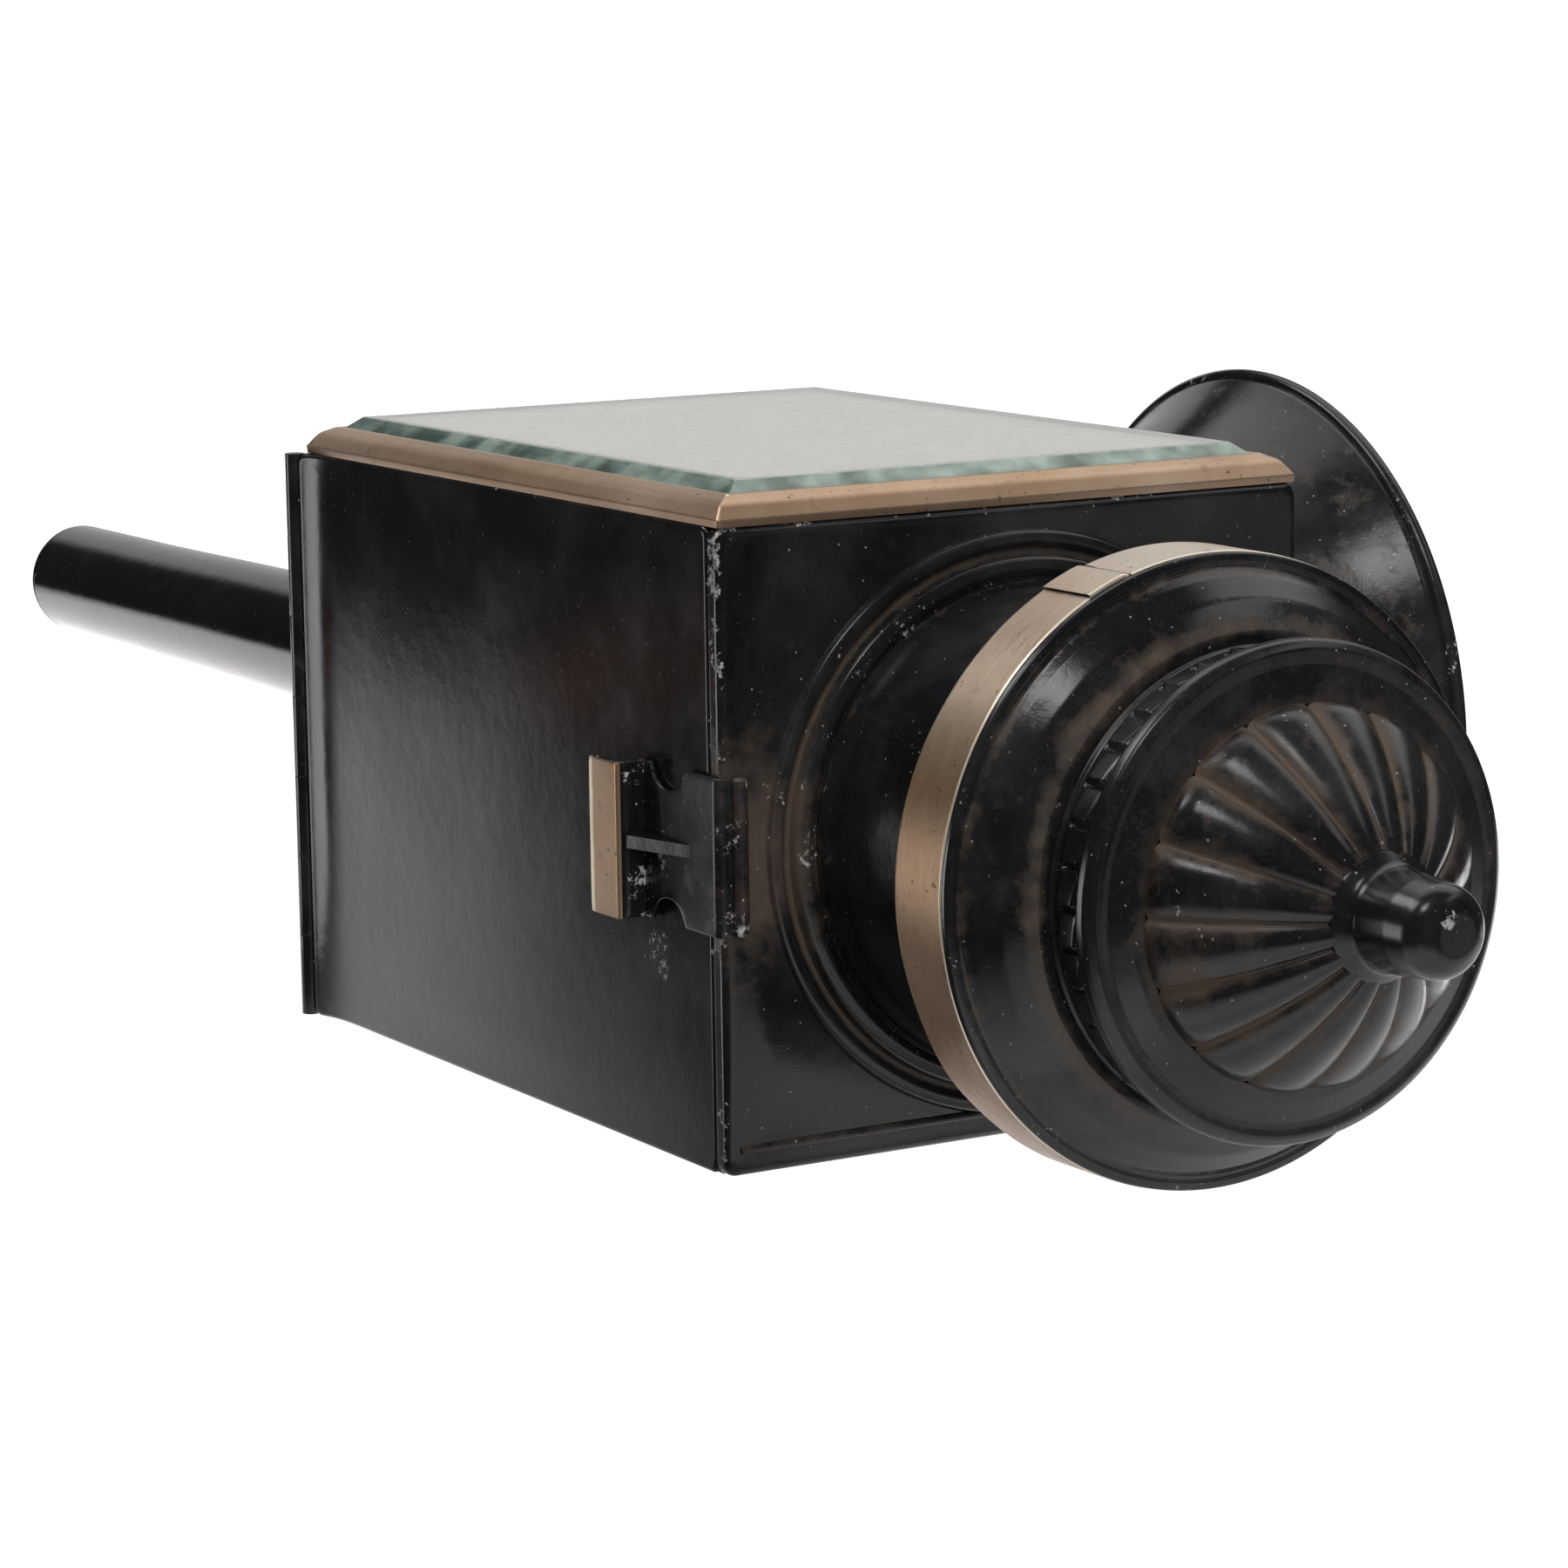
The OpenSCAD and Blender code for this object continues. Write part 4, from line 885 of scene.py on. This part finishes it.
# ---------------------------------------------------------------------------
# Studio
# A white floor under the tube fills the picture. The enamel mirrors a pale
# bench along the lamp's plain side, a pale sheet behind it and a soft light
# over the glass, and is dark everywhere else.
# ---------------------------------------------------------------------------
def card(name, centre, normal, up, width, height, strength, colour=(1, 1, 1), soft_edge=0.3):
    """A flat glowing board that only mirrors see. It fades out towards its edges."""
    normal, up = Vector(normal).normalized(), Vector(up)
    side = up.cross(normal).normalized()
    up = normal.cross(side)
    half_side, half_up = side * width / 2, up * height / 2
    centre = Vector(centre)
    mesh = bpy.data.meshes.new(name)
    mesh.from_pydata([centre - half_side - half_up, centre + half_side - half_up,
                      centre + half_side + half_up, centre - half_side + half_up], [], [(0, 1, 2, 3)])
    layer = mesh.uv_layers.new(name="board")
    layer.data.foreach_set("uv", (-1, -1, 1, -1, 1, 1, -1, 1))
    made = bpy.data.materials.new(name)
    made.use_nodes = True
    tree = made.node_tree
    tree.nodes.clear()
    spot = node(tree, "ShaderNodeUVMap", uv_map="board").outputs[0]
    parts = node(tree, "ShaderNodeSeparateXYZ", {0: spot})
    off_centre = [times(tree, parts.outputs[i], 0.0, "ABSOLUTE") for i in (0, 1)]
    fade = [ramp(tree, off, 1 - soft_edge, 1.0, 1.0, 0.0) for off in off_centre]
    power = times(tree, times(tree, fade[0], fade[1]), strength)
    glow = node(tree, "ShaderNodeEmission", {"Color": (*colour, 1), "Strength": power})
    tree.links.new(glow.outputs[0], node(tree, "ShaderNodeOutputMaterial").inputs[0])
    mesh.materials.append(made)
    board = bpy.data.objects.new(name, mesh)
    bpy.context.scene.collection.objects.link(board)
    board.visible_camera = False
    board.visible_diffuse = False
    board.visible_shadow = False
    board.visible_transmission = False
    return board


floor_mesh = bpy.data.meshes.new("floor")
reach = 60.0
floor_z = -2 * MM
floor_mesh.from_pydata([(-reach, -reach, floor_z), (reach, -reach, floor_z), (reach, reach, floor_z),
                        (-reach, reach, floor_z)], [], [(0, 1, 2, 3)])
floor = bpy.data.objects.new("floor", floor_mesh)
bpy.context.scene.collection.objects.link(floor)
white = bpy.data.materials.new("white_floor")
white.use_nodes = True
paint = white.node_tree.nodes["Principled BSDF"]
paint.inputs["Base Color"].default_value = (0.5, 0.5, 0.5, 1)
paint.inputs["Roughness"].default_value = 0.9
paint.inputs["Emission Color"].default_value = (1, 1, 1, 1)
paint.inputs["Emission Strength"].default_value = 0.9
floor_mesh.materials.append(white)
floor.visible_glossy = False
floor.visible_diffuse = False

centre = Vector((0, 0, (foot_z + roof_z) / 2))
card("bench", (-0.070, -0.115, 0.057), (1, 0, 0), (0, -0.917, -0.400), 1.2, 0.66, 2.0,
     (1.0, 0.965, 0.97), soft_edge=0.40)
card("bench_end", (-0.070, -0.05, 0.56), (1, 0, 0), (0, 0, 1), 0.40, 0.24, 1.0, soft_edge=0.4)
card("warm_patch", (-0.074, 0.37, -0.26), (1, 0, 0), (0, -0.5, 0.86), 0.20, 0.34, 0.55,
     (1.0, 0.45, 0.25), soft_edge=0.95)
card("backdrop", centre + AHEAD * 0.75 + upward * 0.22, -AHEAD, upward, 1.1, 0.9, 0.68,
     (1.0, 0.98, 0.95), soft_edge=0.2)
card("ceiling", centre + upward * 0.7 + AHEAD * 0.20 + across * 0.25, -upward, AHEAD, 1.3, 0.8, 1.35,
     (1.0, 0.97, 0.94), soft_edge=0.35)
card("window", (-0.10, 0.90, -0.35), (0, -1, 0), (0, 0, 1), 0.5, 0.55, 3.5)
card("strip", centre + upward * 0.75 - across * 0.55 - AHEAD * 0.1, -upward + across * 0.7, AHEAD,
     0.42, 0.8, 4.5)
card("key", centre + upward * 0.75 - across * 0.17 - AHEAD * 0.85, -upward + AHEAD * 1.1, across,
     0.34, 0.40, 6.5, soft_edge=0.35)
card("far_wall", centre + across * 1.2 - upward * 0.3 - AHEAD * 0.55, -across, upward, 0.9, 0.8, 0.40,
     (0.95, 0.95, 1.0), soft_edge=0.7)
card("side_strip", centre + upward * 0.60 + across * 0.70 - AHEAD * 0.30, -upward - across, AHEAD,
     0.14, 0.6, 1.4)


def lamp(name, at, to, size, power):
    """A rectangular soft light at one place that points to another. Mirrors don't see it."""
    data = bpy.data.lights.new(name, "AREA")
    data.shape = "RECTANGLE"
    data.size, data.size_y = size
    data.energy = power
    made = bpy.data.objects.new(name, data)
    made.location = at
    made.rotation_euler = (Vector(at) - Vector(to)).to_track_quat("Z", "Y").to_euler()
    made.visible_camera = False
    made.visible_glossy = False
    bpy.context.scene.collection.objects.link(made)
    return made


lamp("top_light", centre + Vector((1.0, 0.25, 0.35)), centre, (0.9, 0.7), 16)
lamp("front_fill", centre + Vector((0.3, 0.5, 1.6)), centre, (0.8, 0.8), 22)

world = bpy.data.worlds.new("studio")
bpy.context.scene.world = world
world.use_nodes = True
world.node_tree.nodes["Background"].inputs[0].default_value = (1, 1, 1, 1)
world.node_tree.nodes["Background"].inputs[1].default_value = 0.035
bpy.context.scene.view_settings.view_transform = "Standard"
